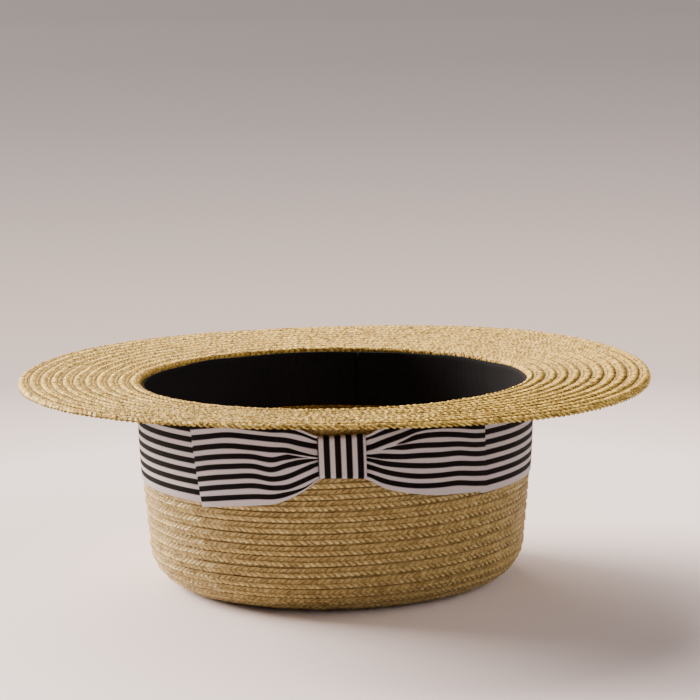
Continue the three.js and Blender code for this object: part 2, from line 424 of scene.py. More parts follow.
class Shader:
    """A material under construction, with one method for each kind of node it uses."""

    def __init__(self, name: str, roughness: float, specular: float) -> None:
        """Start a material whose even values are set on the shader's own sockets.

        Args:
            name: name of the material.
            roughness: roughness where nothing else is linked.
            specular: strength of the plain reflection.
        """
        self.material = bpy.data.materials.new(name)
        self.material.use_nodes = True
        self.tree = self.material.node_tree
        self.shader = next(node for node in self.tree.nodes if node.type == "BSDF_PRINCIPLED")
        self.shader.inputs["Roughness"].default_value = roughness
        self.shader.inputs["Specular IOR Level"].default_value = specular

    def _put(self, socket: Socket, value: Value | Colour) -> None:
        """Link a socket to value, or set it where value is a plain number or colour.

        Args:
            socket: the socket that takes the value.
            value: another node's output, or a number or colour.
        """
        if isinstance(value, Socket):
            self.tree.links.new(value, socket)
        elif isinstance(value, tuple) and socket.type == "RGBA":
            socket.default_value = (*value, 1.0)
        else:
            socket.default_value = value

    def link(self, value: Value | Colour, name: str) -> None:
        """Link a value to one of the shader's own sockets."""
        self._put(self.shader.inputs[name], value)

    def surface_map(self) -> tuple[Socket, Socket]:
        """Read the piece's own surface coordinates.

        Returns:
            The coordinate along the surface and the one across it.
        """
        node = self.tree.nodes.new("ShaderNodeUVMap")
        node.uv_map = "surface"
        split = self.tree.nodes.new("ShaderNodeSeparateXYZ")
        self.tree.links.new(node.outputs["UV"], split.inputs[0])
        return split.outputs["X"], split.outputs["Y"]

    def object_place(self) -> Socket:
        """Place on the object, in metres."""
        return self.tree.nodes.new("ShaderNodeTexCoord").outputs["Object"]

    def combine(self, x: Value, y: Value, z: Value) -> Socket:
        """Make one vector from three numbers.

        Args:
            x: its first number.
            y: its second number.
            z: its third number.

        Returns:
            The vector.
        """
        node = self.tree.nodes.new("ShaderNodeCombineXYZ")
        for socket, value in zip(node.inputs, (x, y, z)):
            self._put(socket, value)
        return node.outputs[0]

    def maths(self, operation: str, *values: Value) -> Socket:
        """Take one arithmetic step.

        Args:
            operation: name of the step, as a Math node has it.
            *values: what it works on, in order.

        Returns:
            The result.
        """
        node = self.tree.nodes.new("ShaderNodeMath")
        node.operation = operation
        for socket, value in zip(node.inputs, values):
            self._put(socket, value)
        return node.outputs[0]

    def times(self, first: Value, second: Value) -> Socket:
        """Product of two numbers."""
        return self.maths("MULTIPLY", first, second)

    def larger(self, first: Value, second: Value) -> Socket:
        """Larger of two numbers."""
        return self.maths("MAXIMUM", first, second)

    def away(self, value: Value, place: Value) -> Socket:
        """Distance of a number from a place, whichever way."""
        return self.maths("ABSOLUTE", self.maths("SUBTRACT", value, place))

    def wave(self, value: Value, rate: float) -> Socket:
        """Sine of a number times a rate."""
        return self.maths("SINE", self.times(value, rate))

    def rescale(self, value: Value, band: Band) -> Socket:
        """Move a value from a band's own range into its other one, held at both ends.

        Args:
            value: the value.
            band: both ranges.

        Returns:
            The moved value.
        """
        node = self.tree.nodes.new("ShaderNodeMapRange")
        node.clamp = True
        for socket, given in zip(node.inputs[:5], (value, *band)):
            self._put(socket, given)
        return node.outputs[0]

    def by_side(self, inside: Socket, sides: tuple[float, float]) -> Socket:
        """The first number where inside is 0 and the second where it is 1."""
        return self.rescale(inside, Band(0.0, 1.0, *sides))

    def length(self, vector: Socket) -> Socket:
        """Measure a vector.

        Args:
            vector: the vector.

        Returns:
            Its length.
        """
        node = self.tree.nodes.new("ShaderNodeVectorMath")
        node.operation = "LENGTH"
        self.tree.links.new(vector, node.inputs[0])
        return node.outputs["Value"]

    def white_noise(self, cell: Socket) -> Socket:
        """Draw a random number for each cell.

        Args:
            cell: a vector that is the same all over a cell.

        Returns:
            A number from 0 to 1, evenly spread.
        """
        node = self.tree.nodes.new("ShaderNodeTexWhiteNoise")
        self.tree.links.new(cell, node.inputs["Vector"])
        return node.outputs["Value"]

    def noise(self, place: Socket, scale: float, detail: float) -> Socket:
        """Read soft cloudy noise.

        Args:
            place: where it is read.
            scale: clouds to each unit of the place.
            detail: how many times finer clouds are added.

        Returns:
            The noise, from about 0.2 to 0.8.
        """
        node = self.tree.nodes.new("ShaderNodeTexNoise")
        self.tree.links.new(place, node.inputs["Vector"])
        node.inputs["Scale"].default_value = scale
        node.inputs["Detail"].default_value = detail
        return node.outputs[0]

    def ramp(self, value: Value, stops: tuple[tuple[float, Tint], ...]) -> Socket:
        """Read a colour from a row of stops.

        Args:
            value: place in the row, from 0 to 1.
            stops: the place and the colour of each stop.

        Returns:
            The colour.
        """
        node = self.tree.nodes.new("ShaderNodeValToRGB")
        elements = node.color_ramp.elements
        while len(elements) < len(stops):
            elements.new(0.5)
        for element, (place, colour) in zip(elements, stops):
            element.position = place
            element.color = (*colour, 1.0)
        self._put(node.inputs[0], value)
        return node.outputs["Color"]

    def blend(self, share: Value, first: Colour, second: Colour, kind: str = "MIX") -> Socket:
        """Mix two colours.

        Args:
            share: share of the second colour.
            first: the colour at share 0.
            second: the colour at share 1.
            kind: how they mix, as a Mix node has it.

        Returns:
            The mixed colour.
        """
        node = self.tree.nodes.new("ShaderNodeMix")
        node.data_type = "RGBA"
        node.blend_type = kind
        colours = [socket for socket in node.inputs if socket.type == "RGBA"]
        self._put(node.inputs[0], share)
        self._put(colours[0], first)
        self._put(colours[1], second)
        return next(socket for socket in node.outputs if socket.type == "RGBA")

    def bump(self, height: Socket, distance: float, strength: float) -> None:
        """Shade the surface as if it were raised.

        Args:
            height: height of the relief, usually from 0 to 1.
            distance: how high 1 is, in metres.
            strength: how much of the relief shows.
        """
        node = self.tree.nodes.new("ShaderNodeBump")
        node.inputs["Strength"].default_value = strength
        node.inputs["Distance"].default_value = distance
        self.tree.links.new(height, node.inputs["Height"])
        self.tree.links.new(node.outputs[0], self.shader.inputs["Normal"])


class StrawMap(NamedTuple):
    """What the straw's colour, gaps and relief are worked out from, place by place.

    tone and gloss are random for each straw. back arches across a straw and hump along it.
    inside is 1 on the hat's inner face, and from_open goes from 0 at the plait's open edge
    to 1 under the next row. The rest are noises, from fine fibres to wide patches.
    """

    tone: Socket
    gloss: Socket
    back: Socket
    hump: Socket
    inside: Socket
    from_open: Socket
    fibre: Socket
    patch: Socket
    clump: Socket
    speck: Socket
    fleck: Socket


@dataclass(frozen=True)
class StrawFinish:
    """Glossy straw: each plaited straw has its own tone, with fine fibres and random dark flecks.

    Painted shade darkens the gaps between straws, the eyes where half rows meet, the grooves
    under each row's overlapping edge and the part of each row that goes under the next.
    Painted highlights lighten the crests of glossy straws near the open edge. The inner face,
    seen on the lit top of the brim, is tinted paler and more golden than the outer face, seen
    on the shaded crown, as painted light and shade.

    A Band says where on its reading a mark starts and ends and how strong it is there, and a
    pair of sides says how strong it is on the hat's outside and inside. A noise's scale is
    counted in a metre.
    """

    name: str
    pale: Tint = (0.95, 0.73, 0.36)
    gold: Tint = (0.76, 0.56, 0.245)
    brown: Tint = (0.42, 0.28, 0.11)
    # Colour of the painted shade in the gaps, eyes and grooves, and of the random dark flecks.
    gap: Tint = (0.085, 0.047, 0.017)
    # Colour of the random pale specks, and of the painted highlights on glossy crests.
    light: Tint = (0.98, 0.80, 0.42)
    # Painted light and shade: the outer face, seen on the shaded crown, is tinted duller, and the inner
    # face, seen on the lit top of the brim, paler and more golden.
    outer_shaded_tint: Tint = (0.78, 0.80, 0.68)
    inner_lit_tint: Tint = (1.0, 0.94, 0.50)
    tone_places: tuple[float, ...] = (0.0, 0.25, 0.6, 0.85, 1.0)
    gloss_cell: float = 7.0
    fibres: float = 13.0
    patch_scale: float = 30.0
    clump_scale: float = 130.0
    speck_scale: float = 640.0
    fleck_scale: float = 420.0

    brown_fibre: Band = Band(0.35, 0.75, 0.0, 0.45)
    brown_speck: Band = Band(0.50, 0.62, 0.0, 0.7)
    light_speck: Band = Band(0.47, 0.37, 0.0, 0.6)
    pale_patch: Band = Band(0.4, 0.7, 0.0, 0.3)
    # Painted shade: browner where the row goes under the next one.
    shade_under_next_row: Band = Band(0.36, 0.56, 0.0, 0.38)
    # Painted highlight: the crests of glossy straws near the open edge are lightened.
    crest_place: float = 0.2
    crest_reach: Band = Band(0.2, 0.07, 0.0, 1.0)
    crest_back: Band = Band(0.6, 0.95, 0.0, 1.0)
    crest_gloss: Band = Band(0.2, 0.7, 0.0, 1.3)
    crest_clump: Band = Band(0.36, 0.56, 0.3, 1.0)

    # Painted shade in the gaps between straws and in the eyes where half rows meet.
    gap_back: Band = Band(0.2, 0.85, 1.0, 0.0)
    gap_reach: Band = Band(0.1, 0.5, 1.0, 0.3)
    gap_clump: Band = Band(0.38, 0.58, 1.25, 0.6)
    gap_tone: Band = Band(0.0, 1.0, 1.25, 0.75)
    eye_hump: Band = Band(0.0, 0.6, 0.8, 0.0)
    eye_sides: tuple[float, float] = (1.0, 0.4)
    # Random dark flecks. They sit in the hollows between the bump's lumps, so they also paint shade there.
    fleck_depth: Band = Band(0.54, 0.62, 0.0, 0.62)
    fleck_sides: tuple[float, float] = (0.4, 1.0)
    # Painted shadow under each row's overlapping edge, and at that edge itself.
    groove_under: Band = Band(0.9, 1.0, 0.0, 0.45)
    groove_edge: Band = Band(0.0, 0.05, 0.3, 0.0)
    groove_clump: Band = Band(0.42, 0.58, 1.15, 0.6)
    groove_sides: tuple[float, float] = (1.0, 0.55)

    shine_tint: Tint = (1.0, 0.80, 0.42)
    shine_sides: tuple[float, float] = (0.60, 0.18)
    roughness: float = 0.55
    gloss_roughness: Band = Band(0.3, 1.0, 0.55, 0.30)
    inner_roughness: float = 0.12
    back_power: float = 0.8
    hump_power: float = 0.6
    inner_hump: float = 0.7
    fibre_height: float = 0.3
    lump: Band = Band(0.35, 0.65, 0.9, 0.0)
    lump_sides: tuple[float, float] = (0.25, 0.6)
    relief: float = 1.1 * MM

    def build(self) -> bpy.types.Material:
        """Make the material. Its surface map counts straws along x and rows of plait along y.

        Returns:
            The new material.
        """
        nodes = Shader(self.name, self.roughness, self.shine_sides[0])
        place = self._readings(nodes)
        colour = self._tones_and_painted_light(nodes, place)
        # Painted shade in the gaps, eyes and grooves, and the random dark flecks, darken the straw colour.
        colour = nodes.blend(self._gap_shade_and_flecks(nodes, place), colour, self.gap)
        # Each face is tinted as painted light and shade: the outer face as if shaded, the inner face as if
        # lit.
        face_light_tint = nodes.blend(place.inside, self.outer_shaded_tint, self.inner_lit_tint)
        nodes.link(nodes.blend(1.0, colour, face_light_tint, "MULTIPLY"), "Base Color")
        nodes.link(self.shine_tint, "Specular Tint")
        nodes.link(nodes.by_side(place.inside, self.shine_sides), "Specular IOR Level")
        rough = nodes.rescale(place.gloss, self.gloss_roughness)
        nodes.link(nodes.maths("MULTIPLY_ADD", place.inside, self.inner_roughness, rough), "Roughness")
        nodes.bump(self._height(nodes, place), self.relief, 1.0)
        return nodes.material

    def _readings(self, nodes: Shader) -> StrawMap:
        """Read the surface map and the noises.

        Args:
            nodes: the material under construction.

        Returns:
            The readings.
        """
        straw, across = nodes.surface_map()
        half_rows = nodes.times(across, HALF_ROWS)
        number, half_row = nodes.maths("FLOOR", straw), nodes.maths("FLOOR", half_rows)
        inside = nodes.maths("GREATER_THAN", across, INNER_MAP - 1.0)
        fibre_place = nodes.combine(nodes.times(straw, self.fibres), across, 0.0)
        return StrawMap(
            tone=nodes.white_noise(nodes.combine(number, half_row, 0.0)),
            gloss=nodes.white_noise(nodes.combine(number, half_row, self.gloss_cell)),
            back=nodes.wave(nodes.maths("FRACT", straw), np.pi),
            hump=nodes.wave(nodes.maths("FRACT", half_rows), np.pi),
            inside=inside,
            from_open=nodes.away(nodes.times(inside, INNER_MAP + 1.0), across),
            fibre=nodes.noise(fibre_place, 1.0, detail=3.0),
            patch=nodes.noise(nodes.object_place(), self.patch_scale, detail=2.0),
            clump=nodes.noise(nodes.object_place(), self.clump_scale, detail=1.0),
            speck=nodes.noise(nodes.object_place(), self.speck_scale, detail=2.0),
            fleck=nodes.noise(nodes.object_place(), self.fleck_scale, detail=1.0),
        )

    def _tones_and_painted_light(self, nodes: Shader, place: StrawMap) -> Socket:
        """Colour of the straws: a tone for each, with fibres, specks and patches, painted shade where each
        row goes under the next, and painted highlights on lit crests.

        Args:
            nodes: the material under construction.
            place: its readings.

        Returns:
            The colour.
        """
        tones = (self.brown, self.gold, self.gold, self.pale, self.pale)
        colour = nodes.ramp(place.tone, tuple(zip(self.tone_places, tones)))
        marks = (
            (place.fibre, self.brown_fibre, self.brown),
            (place.speck, self.brown_speck, self.brown),
            (place.speck, self.light_speck, self.light),
            (place.patch, self.pale_patch, self.pale),
            # Painted shade: browner where the row goes under the next one.
            (place.from_open, self.shade_under_next_row, self.brown),
        )
        for reading, band, tone in marks:
            colour = nodes.blend(nodes.rescale(reading, band), colour, tone)
        # Painted highlight on the crests of glossy straws near the open edge.
        off_crest = nodes.away(place.from_open, self.crest_place)
        crest = nodes.times(
            nodes.rescale(place.back, self.crest_back), nodes.rescale(off_crest, self.crest_reach)
        )
        lit = nodes.times(
            nodes.rescale(place.gloss, self.crest_gloss), nodes.rescale(place.clump, self.crest_clump)
        )
        return nodes.blend(nodes.times(crest, lit), colour, self.light)

    def _gap_shade_and_flecks(self, nodes: Shader, place: StrawMap) -> Socket:
        """Painted shade in the gaps between straws, in the eyes where half rows meet and in the grooves
        under each row's edge, with random dark flecks.

        Args:
            nodes: the material under construction.
            place: its readings.

        Returns:
            Darkness, 0 on a clean straw and 1 in a deep gap.
        """
        gap = nodes.rescale(place.back, self.gap_back)
        eye = nodes.times(gap, nodes.rescale(place.hump, self.eye_hump))
        eye = nodes.times(eye, nodes.by_side(place.inside, self.eye_sides))
        gap_bands = (
            (place.from_open, self.gap_reach),
            (place.clump, self.gap_clump),
            (place.tone, self.gap_tone),
        )
        for reading, band in gap_bands:
            gap = nodes.times(gap, nodes.rescale(reading, band))
        flecks = nodes.rescale(place.fleck, self.fleck_depth)
        flecks = nodes.times(flecks, nodes.by_side(place.inside, self.fleck_sides))
        gap = nodes.larger(nodes.larger(gap, eye), flecks)
        # Painted shadow under each row's overlapping edge.
        groove_shade = nodes.rescale(place.from_open, self.groove_under)
        groove_shade = nodes.larger(groove_shade, nodes.rescale(place.from_open, self.groove_edge))
        groove_shade = nodes.times(groove_shade, nodes.rescale(place.clump, self.groove_clump))
        groove_shade = nodes.times(groove_shade, nodes.by_side(place.inside, self.groove_sides))
        return nodes.larger(gap, groove_shade)

    def _height(self, nodes: Shader, place: StrawMap) -> Socket:
        """Height of the straws' backs, with their fibres and lumps.

        Args:
            nodes: the material under construction.
            place: its readings.

        Returns:
            The height, 1 at a crest.
        """
        hump = nodes.maths("POWER", place.hump, self.hump_power)
        hump = nodes.larger(hump, nodes.times(place.inside, self.inner_hump))
        height = nodes.times(nodes.maths("POWER", place.back, self.back_power), hump)
        height = nodes.maths("ADD", height, nodes.times(place.fibre, self.fibre_height))
        lumps = nodes.rescale(place.fleck, self.lump)
        lumps = nodes.times(lumps, nodes.by_side(place.inside, self.lump_sides))
        return nodes.maths("ADD", height, lumps)


@dataclass(frozen=True)
class StripedRibbonFinish:
    """Off-white grosgrain with lengthwise black stripes and fine ribs across, the white painted darker in
    the ribs' valleys as shade.
    """

    name: str
    width: float = 45.2 * MM
    selvedge: float = 3.10 * MM
    pitch: float = 5.14 * MM
    stripe: float = 3.0 * MM
    stripes: int = 8
    rib: float = 1.2 * MM
    white: Tint = (0.535, 0.505, 0.54)
    black: Tint = (0.003, 0.0022, 0.0026)
    roughness: float = 0.75
    shine: float = 0.08
    edge_wave: float = 0.045
    edge_sharpness: float = 30.0
    edge_band: Band = Band(-0.5, 0.5, 0.0, 1.0)
    before_first: float = 0.2
    before_last: float = 0.3
    weave_scale: float = 900.0
    weave_shade: float = 0.3
    weave_tone: float = 0.72
    # Painted shade: the white is darkened in the ribs' valleys, where the bump is lowest.
    rib_valley_shade: Band = Band(-1.0, 0.0, 0.16, 0.0)
    rib_shade_tone: float = 0.45
    rib_height: float = 0.5
    weave_height: float = 0.35
    relief: float = 0.12 * MM
    relief_strength: float = 0.7

    def build(self) -> bpy.types.Material:
        """Make the material. Its surface map holds metres along x and metres across y.

        Returns:
            The new material.
        """
        nodes = Shader(self.name, self.roughness, self.shine)
        along, across = nodes.surface_map()
        place = nodes.maths("DIVIDE", nodes.maths("SUBTRACT", across, self.selvedge), self.pitch)
        half = self.stripe / self.pitch / 2
        distance = nodes.away(nodes.maths("FRACT", place), half)
        ribs = nodes.wave(along, TURN / self.rib)
        edge = nodes.maths("MULTIPLY_ADD", ribs, self.edge_wave, half)
        inside = nodes.times(nodes.maths("SUBTRACT", edge, distance), self.edge_sharpness)
        inside = nodes.rescale(inside, self.edge_band)
        from_first = nodes.maths("GREATER_THAN", place, -self.before_first)
        to_last = nodes.maths("LESS_THAN", place, self.stripes - self.before_last)
        inside = nodes.times(inside, nodes.times(from_first, to_last))
        weave = nodes.noise(nodes.object_place(), self.weave_scale, detail=2.0)
        weave_shade = nodes.times(weave, self.weave_shade)
        white = nodes.blend(weave_shade, self.white, self._darker(self.weave_tone))
        # Painted shade in the ribs' valleys.
        white = nodes.blend(nodes.rescale(ribs, self.rib_valley_shade), white, self._darker(self.rib_shade_tone))
        nodes.link(nodes.blend(inside, white, self.black), "Base Color")
        weave_height = nodes.times(weave, self.weave_height)
        height = nodes.maths("MULTIPLY_ADD", ribs, self.rib_height, weave_height)
        nodes.bump(height, self.relief, self.relief_strength)
        return nodes.material

    def _darker(self, share: float) -> Tint:
        """The white, darkened to a share of itself."""
        return tuple(share * part for part in self.white)


@dataclass(frozen=True)
class DarkBandFinish:
    """Dull black ribbed cloth, paler in random rubbed patches, with each rib's crest painted paler than
    its valley as painted light and shade.
    """

    name: str
    rib: float = 0.9 * MM
    dark: Tint = (0.0065, 0.0068, 0.0095)
    # Paler colour of the rubbed patches, and of the painted light on the ribs' crests.
    worn_and_lit_rib: Tint = (0.013, 0.0135, 0.019)
    roughness: float = 0.8
    shine: float = 0.06
    weave_scale: float = 700.0
    patch_scale: float = 18.0
    # Painted light: how much paler each rib's crest is than its valley.
    rib_shade_tone: float = 0.2
    patch_tone: float = 0.9
    wear_and_rib_light: Band = Band(0.2, 1.0, 0.0, 1.0)
    rib_height: float = 0.5
    weave_height: float = 0.5
    relief: float = 0.12 * MM
    relief_strength: float = 0.6

    def build(self) -> bpy.types.Material:
        """Make the material. Its surface map holds metres along x and metres across y.

        Returns:
            The new material.
        """
        nodes = Shader(self.name, self.roughness, self.shine)
        along, _ = nodes.surface_map()
        ribs = nodes.wave(along, TURN / self.rib)
        weave = nodes.noise(nodes.object_place(), self.weave_scale, detail=2.0)
        patch = nodes.noise(nodes.object_place(), self.patch_scale, detail=2.0)
        # Paler in random rubbed patches, and on the ribs' crests as painted light and shade.
        tone = nodes.maths("MULTIPLY_ADD", ribs, self.rib_shade_tone, nodes.times(patch, self.patch_tone))
        nodes.link(nodes.blend(nodes.rescale(tone, self.wear_and_rib_light), self.dark, self.worn_and_lit_rib), "Base Color")
        weave_height = nodes.times(weave, self.weave_height)
        height = nodes.maths("MULTIPLY_ADD", ribs, self.rib_height, weave_height)
        nodes.bump(height, self.relief, self.relief_strength)
        return nodes.material


Finish = StrawFinish | StripedRibbonFinish | DarkBandFinish


def dress(piece: Object, finish: Finish, node: str) -> Object:
    """Give a piece its material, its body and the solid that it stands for.

    Args:
        piece: the finished mesh.
        finish: what its material is made from.
        node: solid that it replaces.

    Returns:
        The same piece.
    """
    piece.data.materials.append(finish.build())
    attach(piece, "root")
    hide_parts(node)
    return piece


class PlaitPart(NamedTuple):
    """One stretch of the plait: its name, the solid that it stands for, and where it ends.

    The end is a length from the middle of the tip. The last stretch runs to the plait's end.
    """

    name: str
    node: str
    end: float = 0.0


@dataclass
class StrawShell:
    """Crown and brim: one straw plait sewn in a spiral from the tip out to the brim's edge.

    A place across the plait counts from its edge nearer the tip. On the hat's outside that
    edge lies over the row before, and on the inside the other edge lies over the row after.
    Tuples of places and lifts are in millimetres. Eases are the lengths over which a feature
    fades in or out, and those named in turns are counted along the spiral.
    """

    form: HatForm
    finish: StrawFinish
    pitch: float = 5.57 * MM
    overlap: float = 2.0 * MM
    thickness: float = 0.80 * MM
    even_rows_to: float = 138 * MM
    widening_turns: float = 2.0
    start_angle: float = float(np.radians(24.0))
    level_turn: float = 40.0 - 24.0 / 360.0
    levelling_turns: float = 8.0
    jog: float = 0.25
    steps_a_turn: int = 720
    search_points: int = 6001

    outer_places: tuple[float, ...] = (0.0, 0.3, 0.9, 1.7, 2.4, 2.8, 3.2, 3.9, 4.8, 5.6, 7.5)
    inner_places: tuple[float, ...] = (7.3, 6.7, 5.9, 5.2, 4.8, 4.4, 3.6, 2.6, 0.3)
    lean_places: tuple[float, ...] = (0.0, 1.0, 2.0, 3.8, 5.6, 6.6, 7.57)
    lean_lifts: tuple[float, ...] = (0.33, 0.35, 0.34, 0.0, -0.34, -0.35, -0.33)
    edge_round: float = 0.5 * MM
    edge_least: float = 0.02
    swell: float = 0.30 * MM

    stitch: float = 3.15 * MM
    step_heights: tuple[float, ...] = (0.0, 1.0, 0.75)
    arrow_slope: float = 1.0
    arrow_tip: float = 1.5 * MM
    slip: float = 0.30 * MM
    slip_seed: int = 29
    slip_columns: int = 7001
    relief: float = 0.70 * MM
    relief_places: tuple[float, ...] = (0.0, 0.3, 0.9, 1.7, 2.4, 2.8, 3.2, 3.9, 4.8, 5.6, 6.0)
    relief_shares: tuple[float, ...] = (0.75, 0.95, 1.0, 1.0, 0.75, 0.35, 0.6, 0.85, 0.7, 0.3, 0.0)
    uneven: float = 0.45
    uneven_seed: int = 17
    uneven_straws: int = 4001
    outer_valley: float = 0.16 * MM
    inner_valley: float = 0.05 * MM
    valley_reach: float = 0.4 * MM
    scallop: float = 0.9 * MM
    scallop_reach: float = 1.3 * MM
    scallop_ease: float = 10 * MM

    wander: Wander = Wander(11, 400 * MM, 0.16 * MM, 9)
    wander_ease: float = 20 * MM
    wander_end_turns: float = 1.2
    buckle: Wander = Wander(5, 60 * MM, 0.07 * MM, 9)
    row_tilt: float = 0.8 * MM
    tilt_ease: float = 30 * MM
    tilt_to: float = 172 * MM
    tilt_end_ease: float = 24 * MM
    middle_reach: float = 5 * MM
    start_lap: float = 0.6 * MM
    least_thickness: float = 0.3
    end_lift: float = 0.8 * MM
    end_lift_turns: float = 0.4
    pressed: float = 0.05 * MM

    parts: tuple[PlaitPart, ...] = (
        PlaitPart("crown_tip_plait_middle", "crown", 66 * MM),
        PlaitPart("crown_tip_plait_edge", "crown", 97 * MM),
        PlaitPart("crown_side_plait_low", "crown", 136 * MM),
        PlaitPart("crown_side_plait_high", "crown", 173 * MM),
        PlaitPart("brim_plait_inner", "brim", 204 * MM),
        PlaitPart("brim_plait_outer", "brim"),
    )

    def row_start(self, turns: Array) -> Array:
        """Length from the middle of the tip to the row's first edge, after some turns.

        Rows are evenly spaced up to the ribbon and a little wider apart beyond it. Towards
        the brim's edge the spiral becomes level rings that step out over a short arc, and
        the last turn is level, so that the brim's edge is round.

        Args:
            turns: turns since the plait's start.

        Returns:
            Lengths along the meridian.
        """
        last = self.form.meridian()[0][-1] - self.width(self.level_turn)
        change = self.even_rows_to / self.pitch
        plain = np.interp(turns, [0.0, change, self.level_turn], [0.0, self.even_rows_to, last])
        left = np.clip(self.level_turn - turns, 0.0, None)
        whole = np.floor(left)
        stepped = whole + smooth_step((left - whole) / self.jog)
        share = np.clip(1 - left / self.levelling_turns, 0.0, 1.0)
        return plain - share * (stepped - left) * self.wide_pitch()

    def wide_pitch(self) -> float:
        """Distance between rows beyond the evenly spaced ones."""
        last = self.form.meridian()[0][-1] - self.pitch - self.overlap
        return (last - self.even_rows_to) / (self.level_turn - self.even_rows_to / self.pitch)

    def width(self, turns: Array) -> Array:
        """Full width of the plait, with the part that lies over the next row.

        Args:
            turns: turns since the plait's start.

        Returns:
            The width after each number of turns.
        """
        change = self.even_rows_to / self.pitch
        ends = [change, change + self.widening_turns]
        return self.overlap + np.interp(turns, ends, [self.pitch, self.wide_pitch()])

    def spiral_lengths(self) -> tuple[Array, Array]:
        """Length of the plait's middle line at many places.

        Returns:
            Turns, from one before the first full turn, and the length sewn up to each.
        """
        turns = np.arange(-1.0, self.level_turn + 1.0, 1 / self.steps_a_turn)
        middle = self.row_start(turns) + self.width(turns) / 2
        line = self.form.shell(self.start_angle + TURN * turns, middle, np.zeros_like(turns))
        return turns, run_along(line)

    def turns_at(self, run: float) -> float:
        """Turns after which the row's first edge is a length from the middle of the tip."""
        turns = np.linspace(0.0, self.level_turn, self.search_points)
        return float(np.interp(run, self.row_start(turns), turns))

    def from_open_edge(self, place: Array, face: Face) -> Array:
        """Distance from the edge that lies on top on a face."""
        return place if face is Face.OUTER else self.pitch + self.overlap - place

    def section_lift(self, place: Array, face: Face) -> Array:
        """Lift of a smooth plait's face.

        The middle line leans from over the row before to under the row after. A face is half
        a thickness away from it, rounded at both edges, and its open part swells as half a
        sine wave.

        Args:
            place: distance across the plait, on the crown's scale.
            face: which side of the plait.

        Returns:
            Lift from the middle of the shell.
        """
        lean = smooth_curve(np.array(self.lean_places) * MM, np.array(self.lean_lifts) * MM, place)
        to_edge = np.minimum(place, self.pitch + self.overlap - place)
        edge = np.clip(to_edge / self.edge_round, 0.0, 1.0)
        rounded = np.sqrt(np.clip(1 - (1 - edge) ** 2, self.edge_least, 1.0))
        open_place = np.clip(self.from_open_edge(place, face) / self.pitch, 0.0, 1.0)
        bulge = self.swell * np.sin(np.pi * open_place)
        return lean + face.value * (self.thickness / 2 * rounded + bulge)

    def relief_lift(self, place: Array, stroke: Array, face: Face) -> Array:
        """Raised straws: a round back across each straw, highest near the open edge.

        Each straw has its own height, and a bell-shaped valley runs between the half rows.

        Args:
            place: distance across the plait.
            stroke: straws counted along the plait.
            face: which side of the plait.

        Returns:
            Extra lift of the straws.
        """
        inward = self.from_open_edge(place, face)
        share = np.interp(inward, np.array(self.relief_places) * MM, self.relief_shares)
        chance = np.random.default_rng(self.uneven_seed).uniform(-1.0, 1.0, (self.uneven_straws, 2))
        heights = 1 + self.uneven * chance
        number = np.floor(stroke).astype(int) % len(heights)
        share = share * heights[number, (inward > self.pitch / 2).astype(int)]
        depth = self.outer_valley if face is Face.OUTER else self.inner_valley
        valley = depth * np.exp(-(((inward - self.pitch / 2) / self.valley_reach) ** 2))
        return face.value * (self.relief * share * (self.back(stroke) - 0.5) - valley)

    def face_lift(self, place: Array, stroke: Array, face: Face) -> Array:
        """Lift of a face with its raised straws."""
        return self.section_lift(place, face) + self.relief_lift(place, stroke, face)

    def back(self, stroke: Array) -> Array:
        """Height of a straw's round back, 0 in the gap between two straws and 1 at its crest."""
        places = np.arange(len(self.step_heights) + 1) / len(self.step_heights)
        return np.interp(stroke % 1.0, places, (*self.step_heights, self.step_heights[0]))

    def notch(self, place: Array, stroke: Array) -> Array:
        """Sideways move of the plait's edges, which draw in between two straws.

        Args:
            place: distance across the plait.
            stroke: straws counted along the plait.

        Returns:
            The move, away from the edge nearer the tip.
        """
        near_first = np.clip(1 - place / self.scallop_reach, 0.0, 1.0)
        near_last = np.clip(1 - (self.pitch + self.overlap - place) / self.scallop_reach, 0.0, 1.0)
        return self.scallop * (1 - self.back(stroke)) * (near_first - near_last)

    def column_lengths(self, columns: Array, outer: Array, inner: Array) -> Array:
        """Length along the plait of each column's corners.

        Columns follow the straws: a corner's length is its column's, moved by the column's
        own slip, plus its distance from the half rows' meeting line, so columns form
        arrowheads. The straws of the inner face meet on its own open part's middle.

        Args:
            columns: numbers of the columns, one in each row.
            outer: places across the outer face.
            inner: places across the inner face.

        Returns:
            Lengths by column and by place across.
        """
        half = self.pitch / 2
        centres = np.concatenate([np.full(len(outer), half), np.full(len(inner), half + self.overlap)])
        chance = np.random.default_rng(self.slip_seed).uniform(-1.0, 1.0, self.slip_columns)
        slips = self.slip * chance
        step = self.stitch / len(self.step_heights)
        along = columns * step + slips[columns.astype(int) % len(slips)]
        places = np.concatenate([outer, inner])
        return along + self.arrow_slope * np.abs(places - centres) - self.arrow_tip

